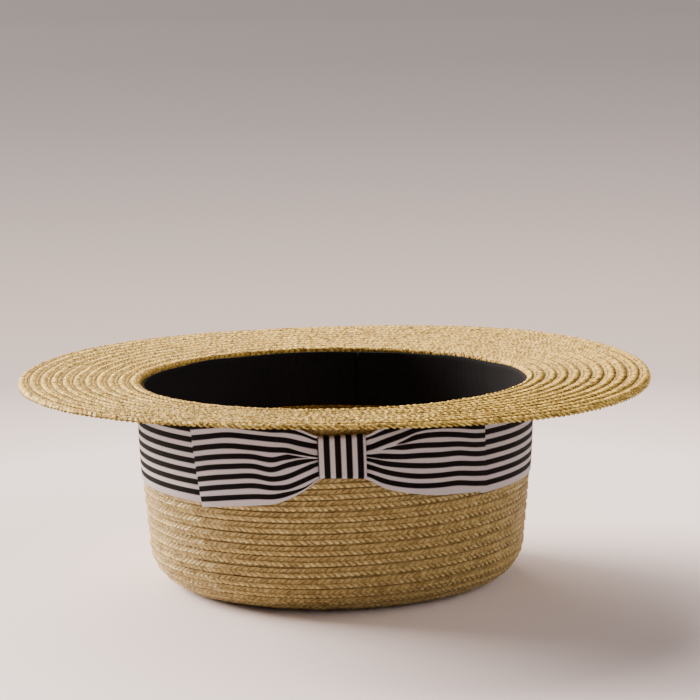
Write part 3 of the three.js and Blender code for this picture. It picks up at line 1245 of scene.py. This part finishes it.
    def lay(self, at: Array, length: Array, stroke: Array, outer: Array, inner: Array) -> Array:
        """Lay the plait's corners on the hat.

        A corner's run is its row's start plus its place across, with the notches and a slow
        wander, and all rows tilt a little. At the very middle of the tip the two sides lap.

        Args:
            at: turns at each corner.
            length: length along the plait at each corner.
            stroke: straws counted along the plait.
            outer: places across the outer face.
            inner: places across the inner face.

        Returns:
            Points with x, y and z last.
        """
        places = np.concatenate([outer, inner])
        angle = self.start_angle + TURN * at
        start = self.row_start(at)
        wide = np.where(at < 0, self.row_start(at + 1) + self.overlap, self.width(at))
        wide = wide / (self.pitch + self.overlap)
        wander = self.wander.at(length) * smooth_step(start / self.wander_ease)
        wander = wander * smooth_step((self.level_turn + 1.0 - at) / self.wander_end_turns)
        notch = self.notch(places, stroke) * smooth_step(start / self.scallop_ease)
        run = start + (places + notch) * wide + wander
        tilt = smooth_step(start / self.tilt_ease)
        tilt = tilt * smooth_step((self.tilt_to - start) / self.tilt_end_ease)
        run = np.clip(run + self.row_tilt * np.cos(angle) * tilt, 0.0, None)
        at_middle = 1 - smooth_step(run / self.middle_reach)
        run = run - self.start_lap * at_middle
        outer_lift = self.face_lift(outer, stroke[:, : len(outer)], Face.OUTER)
        inner_lift = self.face_lift(inner, stroke[:, len(outer) :], Face.INNER)
        lift = np.concatenate([outer_lift, inner_lift], axis=1)
        lift = lift * np.clip(wide, self.least_thickness, 1.0) + self.buckle.at(length)
        to_end = (self.level_turn + 1.0 - at) / self.end_lift_turns
        lift = lift + self.end_lift * smooth_step(1 - to_end)
        lift = lift + 0.5 * self.start_lap * np.sin(angle) * at_middle
        points = self.form.shell(angle, run, lift)
        points[..., 2] = np.maximum(points[..., 2], self.pressed)
        return points

    def build_part(self, part: PlaitPart, first: float, last: float) -> Object:
        """Build the plait between two numbers of turns, as one closed strip.

        Args:
            part: which stretch it is.
            first: turns where the piece starts.
            last: turns where it ends.

        Returns:
            The finished piece.
        """
        turns, lengths = self.spiral_lengths()
        count = len(self.step_heights)
        low, high = np.interp([first, last], turns, lengths) / (self.stitch / count)
        columns = np.arange(np.ceil(low), np.ceil(high) + 1)[:, None]
        outer, inner = np.array(self.outer_places) * MM, np.array(self.inner_places) * MM
        length = np.clip(self.column_lengths(columns, outer, inner), lengths[0], lengths[-1])
        at = np.interp(length, lengths, turns)
        stroke = np.broadcast_to(columns / count, at.shape)
        points = self.lay(at, length, stroke, outer, inner)
        across = [outer / self.pitch, INNER_MAP + (inner - self.overlap) / self.pitch]
        uv = np.stack([stroke, np.broadcast_to(np.concatenate(across), stroke.shape)], -1)
        uv = np.concatenate([uv, uv[:, :1]], axis=1)
        piece = make_piece(part.name, *loft(points[:, ::-1], uv[:, ::-1], False))
        return dress(piece, self.finish, part.node)

    def build(self) -> list[Object]:
        """Build all the plait's parts, each from where the one before ends.

        Returns:
            The finished pieces, from the tip to the brim's edge.
        """
        ends = [self.turns_at(part.end) for part in self.parts[:-1]]
        cuts = [-1.0, *ends, self.level_turn + 1.0]
        return [self.build_part(part, *cuts[i : i + 2]) for i, part in enumerate(self.parts)]


@dataclass
class RibbonBand:
    """Striped ribbon round the crown. Its ends lie under the bow's loops, a little narrowed."""

    form: HatForm
    finish: StripedRibbonFinish
    top_drop: float = 3.7 * MM
    bottom_drop: float = 48.9 * MM
    end_left: float = -45 * MM
    end_right: float = 62 * MM
    lift: float = 0.62 * MM
    least_lift: float = 0.5 * MM
    thickness: float = 0.6 * MM
    tilt: float = 0.45 * MM
    narrowing: float = 1.8 * MM
    narrow_reach: float = 8 * MM
    narrow_ease: float = 5 * MM
    ripple: Wander = Wander(3, 160 * MM, 0.10 * MM)
    rows: int = 420
    columns: int = 13

    def build(self) -> list[Object]:
        """Build the band as a strip that follows the crown.

        Returns:
            The finished piece, alone in a list.
        """
        start = float(self.form.angle_along(self.end_right))
        end = float(self.form.angle_along(self.end_left)) + TURN
        t = np.linspace(start, end, self.rows)[:, None]
        share = np.linspace(0.0, 1.0, self.columns)[None, :]
        run = run_along(self.form.wall(t[:, 0], self.form.thickness, 0.0))[:, None]
        tilt = self.tilt * np.cos(t)
        to_end = np.minimum(run, run[-1] - run)
        narrowed = self.narrowing * smooth_step(1 - (to_end - self.narrow_reach) / self.narrow_ease)
        drop = self.top_drop + share * (self.bottom_drop - self.top_drop - tilt - narrowed)
        lift = self.lift + self.ripple.at(run) * np.sin(np.pi * share)
        grid = self.form.on_crown(t, np.maximum(lift, self.least_lift), drop)
        uv = np.stack(np.broadcast_arrays(run, share * self.finish.width), -1)
        piece = make_piece("ribbon_band_striped", *cloth_strip(grid, uv, self.thickness, False))
        dress(piece, self.finish, "ribbon_band")
        return [piece]


@dataclass(frozen=True)
class LoopStation:
    """How the ribbon lies at one length along a bow loop, all in millimetres.

    top and bottom are the drops of its edges, stripes those of its stripes' middles, and
    fold that of its pleat's edge. hidden is how much ribbon the pleat takes in there.
    """

    along: float
    top: float
    stripes: tuple[float, ...]
    bottom: float
    fold: float
    hidden: float = 0.0

    def row(self) -> tuple[float, ...]:
        """All the drops in one row, from the top, with the fold and the hidden width last."""
        return (self.top, *self.stripes, self.bottom, self.fold, self.hidden)


@dataclass
class BowLoop:
    """One flattened loop of the bow: gathered at the knot, folded at its end and run back.

    side is -1 for the left loop and 1 for the right one. A pleat runs out from the knot at
    one place across the ribbon, and takes in less and less of it.
    """

    form: HatForm
    finish: StripedRibbonFinish
    name: str
    node: str
    side: int
    slant: float
    pleat_place: float
    stations: tuple[LoopStation, ...]
    length: float = 73.7 * MM
    thickness: float = 0.6 * MM
    back_lift: float = 1.65 * MM
    back_inset: float = 0.8 * MM
    fold_radius: float = 0.6 * MM
    fold_ease: float = 5 * MM
    layer_gap: float = 0.2 * MM
    knot_half: float = 11.6 * MM
    stripe_half: float = 0.48

    pleat_depth: float = 2.0 * MM
    pleat_slope: float = 0.4
    pleat_rise: float = 1.2 * MM
    pleat_fade: float = 3 * MM
    pleat_reach: float = 9 * MM
    pleat_step: float = 0.3
    dip: float = 0.4 * MM
    dip_reach: float = 3.5 * MM
    puff: float = 1.7 * MM
    puff_power: float = 0.7
    gather: float = 0.25 * MM
    gather_waves: float = 3.0
    gather_from: float = 8 * MM
    gather_ease: float = 26 * MM

    first_row: float = 0.2 * MM
    gathered_to: float = 34 * MM
    gathered_rows: int = 60
    open_rows: int = 40
    fold_rows: int = 9
    back_rows: int = 30
    columns: int = 91

    def station_curve(self, along: Array) -> Array:
        """Read the stations smoothly between one another.

        Args:
            along: lengths from the knot.

        Returns:
            A station's row, in metres, for each length.
        """
        knots = np.array([station.along for station in self.stations]) * MM
        table = np.array([station.row() for station in self.stations]) * MM
        smooth = np.stack([smooth_curve(knots, column, along) for column in table.T], -1)
        smooth[:, -1] = np.interp(along, knots, table[:, -1])
        return smooth

    def drop(self, along: Array, across: Array) -> Array:
        """Drop of the ribbon, along its pleat and past it.

        Each stripe's two edges lie on either side of its middle, half a stripe away or as
        much as its neighbours leave it, and the drop is a straight ramp between one edge and
        the next. The hidden ribbon goes back under the pleat's edge and forward again.

        Args:
            along: lengths from the knot, one for each row.
            across: distances across the ribbon, one for each column.

        Returns:
            Drops by row and column.
        """
        rows = self.station_curve(along)
        lines, fold, hidden = rows[:, :-2], rows[:, -2], rows[:, -1]
        gaps = np.diff(lines, axis=1)
        nearest = self.stripe_half * np.minimum(gaps[:, :-1], gaps[:, 1:])
        half = np.minimum(nearest, self.finish.stripe * self.stripe_half)[..., None]
        side = np.array([-1.0, 1.0])
        numbers = np.arange(self.finish.stripes)
        middles = self.finish.selvedge + self.finish.stripe / 2 + self.finish.pitch * numbers
        edges = (middles[:, None] + side * self.finish.stripe / 2).ravel()
        edge_drops = (lines[:, 1:-1, None] + side * half).reshape(len(along), -1)
        above = int((edges < self.pleat_place).sum())
        pleat_end = self.pleat_place + hidden
        places = [np.zeros_like(fold)] + [np.full_like(fold, edge) for edge in edges[:above]]
        places += [np.full_like(fold, self.pleat_place), pleat_end]
        places += [np.maximum(edge, pleat_end) for edge in edges[above:]]
        places += [np.full_like(fold, self.finish.width)]
        drops = [lines[:, 0], *edge_drops[:, :above].T, fold, fold]
        drops += [np.maximum(edge_drop, fold) for edge_drop in edge_drops[:, above:].T]
        drops += [lines[:, -1]]
        total = np.repeat(drops[0][:, None], len(across), 1)
        for k in range(len(places) - 1):
            span = np.maximum(places[k + 1] - places[k], TINY)[:, None]
            share = np.clip((across[None, :] - places[k][:, None]) / span, 0.0, 1.0)
            total += (drops[k + 1] - drops[k])[:, None] * share
        inside = self.pleat_share(hidden, across)
        depth = np.minimum(self.pleat_depth, hidden * self.pleat_slope)[:, None]
        return total - depth * (1 - np.abs(2 * inside - 1))

    def pleat_share(self, hidden: Array, across: Array) -> Array:
        """Share of the way through the hidden ribbon, 0 above the pleat's edge and 1 past it."""
        span = np.maximum(hidden, TINY)[:, None]
        return np.clip((across[None, :] - self.pleat_place) / span, 0.0, 1.0)

    def front_lift(self, along: Array, across: Array) -> Array:
        """Lift of the front layer: a low puff, raised along the pleat's edge.

        Past the pleat's edge the ribbon steps down twice, by half the rise each time, and
        lies a little lower beside it. Shallow waves run out from the knot.

        Args:
            along: lengths from the knot, one for each row.
            across: distances across the ribbon, one for each column.

        Returns:
            Lifts by row and column.
        """
        hidden = self.station_curve(along)[:, -1]
        fold_start = self.length - self.fold_radius
        free = np.clip((along - self.knot_half) / (fold_start - self.knot_half), 0.0, 1.0)[:, None]
        share = (across / self.finish.width)[None, :]
        puff = self.puff * np.sin(np.pi * free**self.puff_power)
        puff = puff * np.sin(np.pi * share) ** self.puff_power
        fade = smooth_step(hidden / self.pleat_fade)[:, None]
        inside = self.pleat_share(hidden, across)
        last_step = inside - (1 - self.pleat_step)
        steps = 1 - 0.5 * smooth_step(inside / self.pleat_step)
        steps = steps - 0.5 * smooth_step(last_step / self.pleat_step)
        above = smooth_step(1 - (self.pleat_place - across) / self.pleat_reach)[None, :]
        beside = across[None, :] - self.pleat_place - hidden[:, None]
        dip = self.dip * np.exp(-((beside / self.dip_reach) ** 2)) * (beside > 0)
        near_knot = smooth_step(1 - (along - self.gather_from) / self.gather_ease)[:, None]
        ripple = self.gather * np.cos(TURN * share * self.gather_waves) * near_knot
        level = self.back_lift + 2 * self.fold_radius + self.layer_gap
        return level + puff + ripple + fade * (self.pleat_rise * steps * above - dip)

    def build(self) -> list[Object]:
        """Build the loop from its front layer, its folded end and its back layer.

        Returns:
            The finished piece, alone in a list.
        """
        across = np.linspace(0.0, self.finish.width, self.columns)
        share = across / self.finish.width
        fold_start = self.length - self.fold_radius
        gathered = np.linspace(self.first_row, self.gathered_to, self.gathered_rows)
        front = np.concatenate([gathered, np.linspace(self.gathered_to, fold_start, self.open_rows)[1:]])
        turn = np.linspace(0.0, np.pi, self.fold_rows)[1:-1]
        back = np.linspace(fold_start, self.first_row, self.back_rows)
        along = np.concatenate([front, fold_start + self.fold_radius * np.sin(turn), back])
        end_lift = self.back_lift + self.fold_radius * (1 + np.cos(turn))
        ease = smooth_step((self.length - front) / self.fold_ease)[:, None]
        flat_lift = self.back_lift + 2 * self.fold_radius
        lift = np.concatenate(
            [
                flat_lift + (self.front_lift(front, across) - flat_lift) * ease,
                np.broadcast_to(end_lift[:, None], (len(turn), len(across))),
                np.full((len(back), len(across)), self.back_lift),
            ]
        )
        drop = self.drop(np.minimum(along, self.length), across)
        top = drop[-len(back) :, :1] + self.back_inset
        bottom = drop[-len(back) :, -1:] - self.back_inset
        drop[-len(back) :] = top + share[None, :] * (bottom - top)
        lean = self.slant * (share[None, :] - 0.5) * (along[:, None] / self.length) ** 2
        t = self.form.angle_along(self.side * (along[:, None] + lean))
        grid = self.form.on_crown(t, lift, drop)
        run = run_along(grid[:, len(across) // 3])[:, None]
        uv = np.stack(np.broadcast_arrays(run, across[None, :]), -1)
        piece = make_piece(self.name, *cloth_strip(grid, uv, self.thickness, False))
        dress(piece, self.finish, self.node)
        return [piece]


@dataclass
class BowKnot:
    """Ribbon folded narrow and wrapped round the gathered middle of the bow.

    Its section is a rounded rectangle between a low and a high lift. Its lower end fans out a
    little and its sides lean.
    """

    form: HatForm
    finish: StripedRibbonFinish
    left: float = -11.2 * MM
    right: float = 10.1 * MM
    top_drop: float = 12.6 * MM
    bottom_drop: float = 33.4 * MM
    under_lift: float = 0.3 * MM
    lift: float = 5.3 * MM
    corner: float = 1.8 * MM
    thickness: float = 0.7 * MM
    bulge: float = 0.25 * MM
    side_lean: float = 0.5 * MM
    fan: float = 0.08
    fan_middle: float = 0.4
    stripe_shift: float = 22.4 * MM
    stripe_spread: float = 1.02
    corner_points: int = 7
    flat_points: int = 20
    columns: int = 25

    def build(self) -> list[Object]:
        """Build the knot as a joined strip: a rounded rectangle carried along the crown.

        Its front bulges a little towards its middle.

        Returns:
            The finished piece, alone in a list.
        """
        inset = self.thickness / 2 + self.corner
        low, high = self.under_lift + inset, self.lift - inset
        top, bottom = self.top_drop + inset, self.bottom_drop - inset
        turn = np.linspace(0.0, np.pi / 2, self.corner_points)
        rise, reach = self.corner * np.sin(turn), self.corner * np.cos(turn)
        flat = np.linspace(0.0, 1.0, self.flat_points + 2)[1:-1]
        to_top, to_bottom = bottom + flat * (top - bottom), top + flat * (bottom - top)
        level = np.ones(len(flat))
        drop = np.concatenate([bottom + reach, to_top, top - rise, top - reach, to_bottom, bottom + rise])
        lift = np.concatenate(
            [
                high + rise,
                (high + self.corner) * level,
                high + reach,
                low - rise,
                (low - self.corner) * level,
                low - reach,
            ]
        )
        keep = np.concatenate([[True], np.hypot(np.diff(drop), np.diff(lift)) > 0.1 * TINY])
        drop, lift = drop[keep], lift[keep]
        along = np.linspace(self.left, self.right, self.columns)
        share = (drop - self.top_drop) / (self.bottom_drop - self.top_drop)
        bulge = self.bulge * np.sin(np.pi * np.clip(share, 0, 1)) * (lift > high)
        spread = drop[:, None] + self.fan * along[None, :] * (share - self.fan_middle)[:, None]
        lean = along[None, :] + self.side_lean * (share - 0.5)[:, None]
        grid = self.form.on_crown(self.form.angle_along(lean), (lift + bulge)[:, None], spread)
        middle = grid[:, self.columns // 2]
        run = run_along(np.concatenate([middle, middle[:1]]))[:, None]
        stripes = self.stripe_spread * along + self.stripe_shift
        uv = np.stack(np.broadcast_arrays(run, stripes[None, :]), -1)
        piece = make_piece("bow_knot_striped", *cloth_strip(grid, uv, self.thickness, True))
        dress(piece, self.finish, "bow_knot")
        return [piece]


@dataclass
class Sweatband:
    """Black cloth band inside the head hollow, with its ends lapped at the back."""

    form: HatForm
    finish: DarkBandFinish
    top_drop: float = 2.4 * MM
    depth: float = 29.0 * MM
    thickness: float = 0.8 * MM
    wall_gap: float = 0.35 * MM
    least_gap: float = 0.75 * MM
    stand_off: float = 1.0 * MM
    lap_at: float = 31 * MM
    lap: float = 14 * MM
    lap_lift: float = 1.0 * MM
    lap_ease: float = 10 * MM
    ripple: Wander = Wander(8, 120 * MM, 0.22 * MM)
    edge_wave: Wander = Wander(21, 200 * MM, 0.25 * MM)
    round_points: int = 721
    rows: int = 460
    columns: int = 13

    def build(self) -> list[Object]:
        """Build the band as an open strip whose last stretch lies over its first.

        Returns:
            The finished piece, alone in a list.
        """
        start = float(self.form.angle_along(-self.lap_at, np.pi / 2))
        line = self.form.wall(np.linspace(0, TURN, self.round_points), 0.0, 0.0)
        round_length = float(run_along(line)[-1])
        end = start + TURN * (1 + self.lap / round_length)
        t = np.linspace(start, end, self.rows)[:, None]
        share = np.linspace(0.0, 1.0, self.columns)[None, :]
        run = (t - start) * round_length / TURN
        lapped = smooth_step((run - round_length + self.lap_ease) / self.lap_ease)
        drop = self.top_drop + share * self.depth + self.edge_wave.at(run)
        wall = self.form.face(np.clip(drop, 0, 1)) - self.form.thickness
        out = wall - self.wall_gap - self.thickness / 2 - self.stand_off * share**2
        out = out - self.lap_lift * lapped + self.ripple.at(run) * share
        grid = self.form.wall(t, np.minimum(out, -self.least_gap), self.form.height - drop)
        uv = np.stack(np.broadcast_arrays(run, share * self.depth), -1)
        piece = make_piece("sweatband_black", *cloth_strip(grid, uv, self.thickness, False))
        dress(piece, self.finish, "sweatband")
        return [piece]


@dataclass(frozen=True)
class Viewpoint:
    """Camera of the picture: it looks at the opening from the front, turned and rolled a little.

    The focus is seen at focus_pixel of a square picture that is image pixels wide.
    """

    focus: Vector
    distance: float = 1.0239
    elevation: float = np.radians(10.33)
    azimuth: float = np.radians(-2.0)
    roll: float = np.radians(0.877)
    image: float = 700.0
    focal_pixels: float = 2000.0
    focus_pixel: tuple[float, float] = (335.07, 375.03)
    sensor: float = 36.0
    nearest: float = 0.02
    farthest: float = 1000.0

    def build(self) -> Object:
        """Make the scene's camera.

        Returns:
            The camera object.
        """
        level = np.cos(self.elevation)
        side, front = np.sin(self.azimuth) * level, -np.cos(self.azimuth) * level
        back = np.array([side, front, np.sin(self.elevation)])
        right = np.cross(-back, [0.0, 0.0, 1.0])
        right /= np.linalg.norm(right)
        up = np.cross(right, -back)
        tilted_right = right * np.cos(self.roll) - up * np.sin(self.roll)
        tilted_up = right * np.sin(self.roll) + up * np.cos(self.roll)
        axes = Matrix(np.array([tilted_right, tilted_up, back]).T.tolist())
        pan = np.arctan((self.image / 2 - self.focus_pixel[0]) / self.focal_pixels)
        tilt = np.arctan((self.focus_pixel[1] - self.image / 2) / self.focal_pixels)
        turn = Matrix.Rotation(-pan, 3, "Y") @ Matrix.Rotation(tilt, 3, "X")
        camera = bpy.data.cameras.new("picture_camera")
        camera.lens = self.focal_pixels / self.image * self.sensor
        camera.sensor_width = self.sensor
        camera.clip_start = self.nearest
        camera.clip_end = self.farthest
        seat = bpy.data.objects.new("picture_camera", camera)
        place = self.focus + Vector(back * self.distance)
        seat.matrix_world = Matrix.Translation(place) @ (axes @ turn).to_4x4()
        bpy.context.scene.collection.objects.link(seat)
        bpy.context.scene.camera = seat
        return seat


class WideLight(NamedTuple):
    """Wide, even light: its height, its direction from +X towards +Y and how wide it looks.

    These are in degrees. Its power is that of a sun lamp.
    """

    name: str
    elevation: float
    azimuth: float
    spread: float
    power: float


@dataclass(frozen=True)
class Studio:
    """Pale floor, soft light from behind on the left, and an even pale surround.

    The floor is a shallow tray whose middle third is level. Its tones are read by distance
    over distance plus one metre: palest round the hat and darker further out, down to the
    surround's brightness far away, as a painted pool of light.
    """

    floor_reach: float = 300.0
    floor_lift: float = 30.0
    floor_lines: tuple[float, ...] = (-1.0, -0.3, 0.3, 1.0)
    floor_roughness: float = 0.9
    floor_shine: float = 0.05
    # Painted pool of light: palest round the hat, darkening outwards to the surround's brightness.
    floor_light_pool_tones: tuple[tuple[float, Tint], ...] = (
        (0.25, (0.84, 0.78, 0.85)),
        (0.38, (0.44, 0.40, 0.42)),
        (0.50, (0.38, 0.34, 0.36)),
        (0.67, (0.25, 0.235, 0.255)),
        (0.81, (0.165, 0.161, 0.18)),
        (0.917, (0.125, 0.124, 0.14)),
        (1.0, (0.115, 0.115, 0.13)),
    )
    light_tint: Tint = (1.0, 0.85, 0.70)
    surround: Tint = (0.19, 0.165, 0.155)
    lights: tuple[WideLight, ...] = (
        WideLight("left_light", 24.0, 150.0, 30.0, 11.5),
        WideLight("high_light", 40.0, 120.0, 50.0, 5.4),
        WideLight("right_light", 20.0, -10.0, 60.0, 2.1),
    )

    def build_floor(self) -> Object:
        """Make the floor, painted palest round the hat as a pool of light, with edges that rise above eye
        level.

        Returns:
            The floor object, marked as stage.
        """
        line = np.array(self.floor_lines) * self.floor_reach
        count = len(line)
        x, y = np.meshgrid(line, line, indexing="ij")
        far = np.maximum(np.abs(x), np.abs(y)) > 0.5 * self.floor_reach
        points = np.stack([x, y, np.where(far, self.floor_lift, 0.0)], -1).reshape(-1, 3)
        i, j = np.meshgrid(np.arange(count - 1), np.arange(count - 1), indexing="ij")
        first = (count * i + j).ravel()
        quads = np.stack([first, first + count, first + count + 1, first + 1], -1)
        floor = make_piece("floor", points, quads)
        shader = Shader("pale_floor", self.floor_roughness, self.floor_shine)
        distance = shader.length(shader.object_place())
        share = shader.maths("DIVIDE", distance, shader.maths("ADD", distance, 1.0))
        shader.link(shader.ramp(share, self.floor_light_pool_tones), "Base Color")
        floor.data.materials.append(shader.material)
        return floor

    def build_light(self, light: WideLight) -> Object:
        """Make wide, even light from one direction.

        Args:
            light: its name, direction, spread and power.

        Returns:
            The lamp object.
        """
        lamp = bpy.data.lights.new(light.name, "SUN")
        lamp.angle = float(np.radians(light.spread))
        lamp.energy = light.power
        lamp.color = self.light_tint
        seat = bpy.data.objects.new(light.name, lamp)
        up, round_angle = np.radians([light.elevation, light.azimuth])
        level = np.cos(up)
        towards = Vector((level * np.cos(round_angle), level * np.sin(round_angle), np.sin(up)))
        seat.rotation_euler = (-towards).to_track_quat("-Z", "Y").to_euler()
        bpy.context.scene.collection.objects.link(seat)
        return seat

    def build_surround(self) -> None:
        """Light the scene evenly from all round."""
        world = bpy.data.worlds.new("pale_surround")
        world.use_nodes = True
        background = next(node for node in world.node_tree.nodes if node.type == "BACKGROUND")
        background.inputs["Color"].default_value = (*self.surround, 1.0)
        background.inputs["Strength"].default_value = 1.0
        bpy.context.scene.world = world

    def build(self) -> None:
        """Make the floor, the surround and the lights."""
        self.build_floor()
        self.build_surround()
        for light in self.lights:
            self.build_light(light)


LEFT_STATIONS = (
    LoopStation(0.0, 14.0, (15.6, 18.4, 21.6, 22.5, 23.3, 25.2, 28.8, 30.8), 31.0, 22.5, 6.4),
    LoopStation(12.2, 12.7, (14.3, 17.6, 22.2, 23.1, 24.0, 26.2, 31.2, 33.9), 34.2, 23.1, 6.4),
    LoopStation(18.0, 10.2, (11.9, 16.4, 20.9, 22.4, 24.7, 28.6, 33.8, 37.6), 38.8, 22.2, 3.0),
    LoopStation(25.9, 6.8, (9.8, 14.6, 19.3, 22.6, 26.6, 32.1, 37.1, 40.6), 43.2, 20.9, 0.6),
    LoopStation(32.0, 5.4, (9.8, 14.2, 19.2, 24.0, 28.7, 33.4, 37.8, 42.1), 45.6, 21.6),
    LoopStation(41.7, 4.6, (9.2, 13.6, 18.7, 23.0, 27.6, 32.4, 37.2, 42.6), 47.0, 20.9),
    LoopStation(54.0, 4.3, (8.7, 13.5, 18.7, 23.8, 28.7, 33.7, 38.6, 44.0), 48.2, 21.2),
    LoopStation(64.5, 5.7, (10.3, 15.4, 20.4, 25.5, 30.3, 35.4, 40.3, 45.6), 49.6, 22.9),
    LoopStation(74.2, 7.2, (12.0, 17.4, 22.6, 27.7, 32.6, 37.5, 42.3, 47.2), 50.8, 25.1),
)

RIGHT_STATIONS = (
    LoopStation(0.0, 14.0, (15.8, 18.8, 21.0, 21.0, 22.0, 23.6, 26.6, 29.6), 31.0, 21.0, 11.1),
    LoopStation(11.8, 12.7, (14.3, 18.7, 21.5, 21.5, 22.9, 24.7, 28.1, 32.2), 34.4, 21.5, 11.1),
    LoopStation(18.5, 9.4, (11.9, 16.3, 19.4, 20.0, 23.2, 26.5, 30.5, 35.2), 38.4, 19.4, 7.4),
    LoopStation(28.0, 6.2, (9.2, 13.3, 16.5, 19.4, 23.9, 28.1, 33.0, 37.8), 41.6, 15.9, 2.4),
    LoopStation(34.3, 4.7, (7.4, 11.5, 15.1, 19.2, 24.0, 28.9, 34.1, 38.9), 43.0, 13.4, 0.6),
    LoopStation(46.5, 3.9, (6.4, 11.0, 15.0, 20.0, 24.8, 30.0, 35.0, 39.9), 45.0, 12.9),
    LoopStation(56.3, 3.9, (7.4, 12.1, 16.4, 20.9, 25.3, 30.5, 35.4, 40.2), 45.6, 14.2),
    LoopStation(66.0, 4.0, (8.8, 13.9, 18.3, 22.7, 27.2, 32.1, 37.0, 42.0), 46.4, 15.9),
    LoopStation(74.0, 4.3, (9.8, 14.9, 19.3, 23.7, 28.2, 33.2, 38.1, 43.3), 47.0, 17.0),
)


def main() -> None:
    """Build the camera, the studio and the hat's pieces in order, and report each piece."""
    logging.basicConfig(level=logging.INFO, format="%(message)s")
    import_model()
    form = HatForm()
    Viewpoint(Vector((0.0, 0.0, form.height))).build()
    Studio().build()

    ribbon = StripedRibbonFinish("striped_grosgrain")
    makers = (
        StrawShell(form, StrawFinish("golden_straw")),
        RibbonBand(form, ribbon),
        BowLoop(
            form, ribbon, "bow_loop_left_striped", "bow_loop_left",
            side=-1, slant=-5.7 * MM, pleat_place=17.4 * MM, stations=LEFT_STATIONS,
        ),
        BowLoop(
            form, ribbon, "bow_loop_right_striped", "bow_loop_right",
            side=1, slant=1.6 * MM, pleat_place=12.3 * MM, stations=RIGHT_STATIONS,
        ),
        BowKnot(form, ribbon),
        Sweatband(form, DarkBandFinish("black_band_cloth")),
    )
    for maker in makers:
        for piece in maker.build():
            LOG.info("%s: %d faces", piece.name, len(piece.data.polygons))


if __name__ == "__main__":
    main()
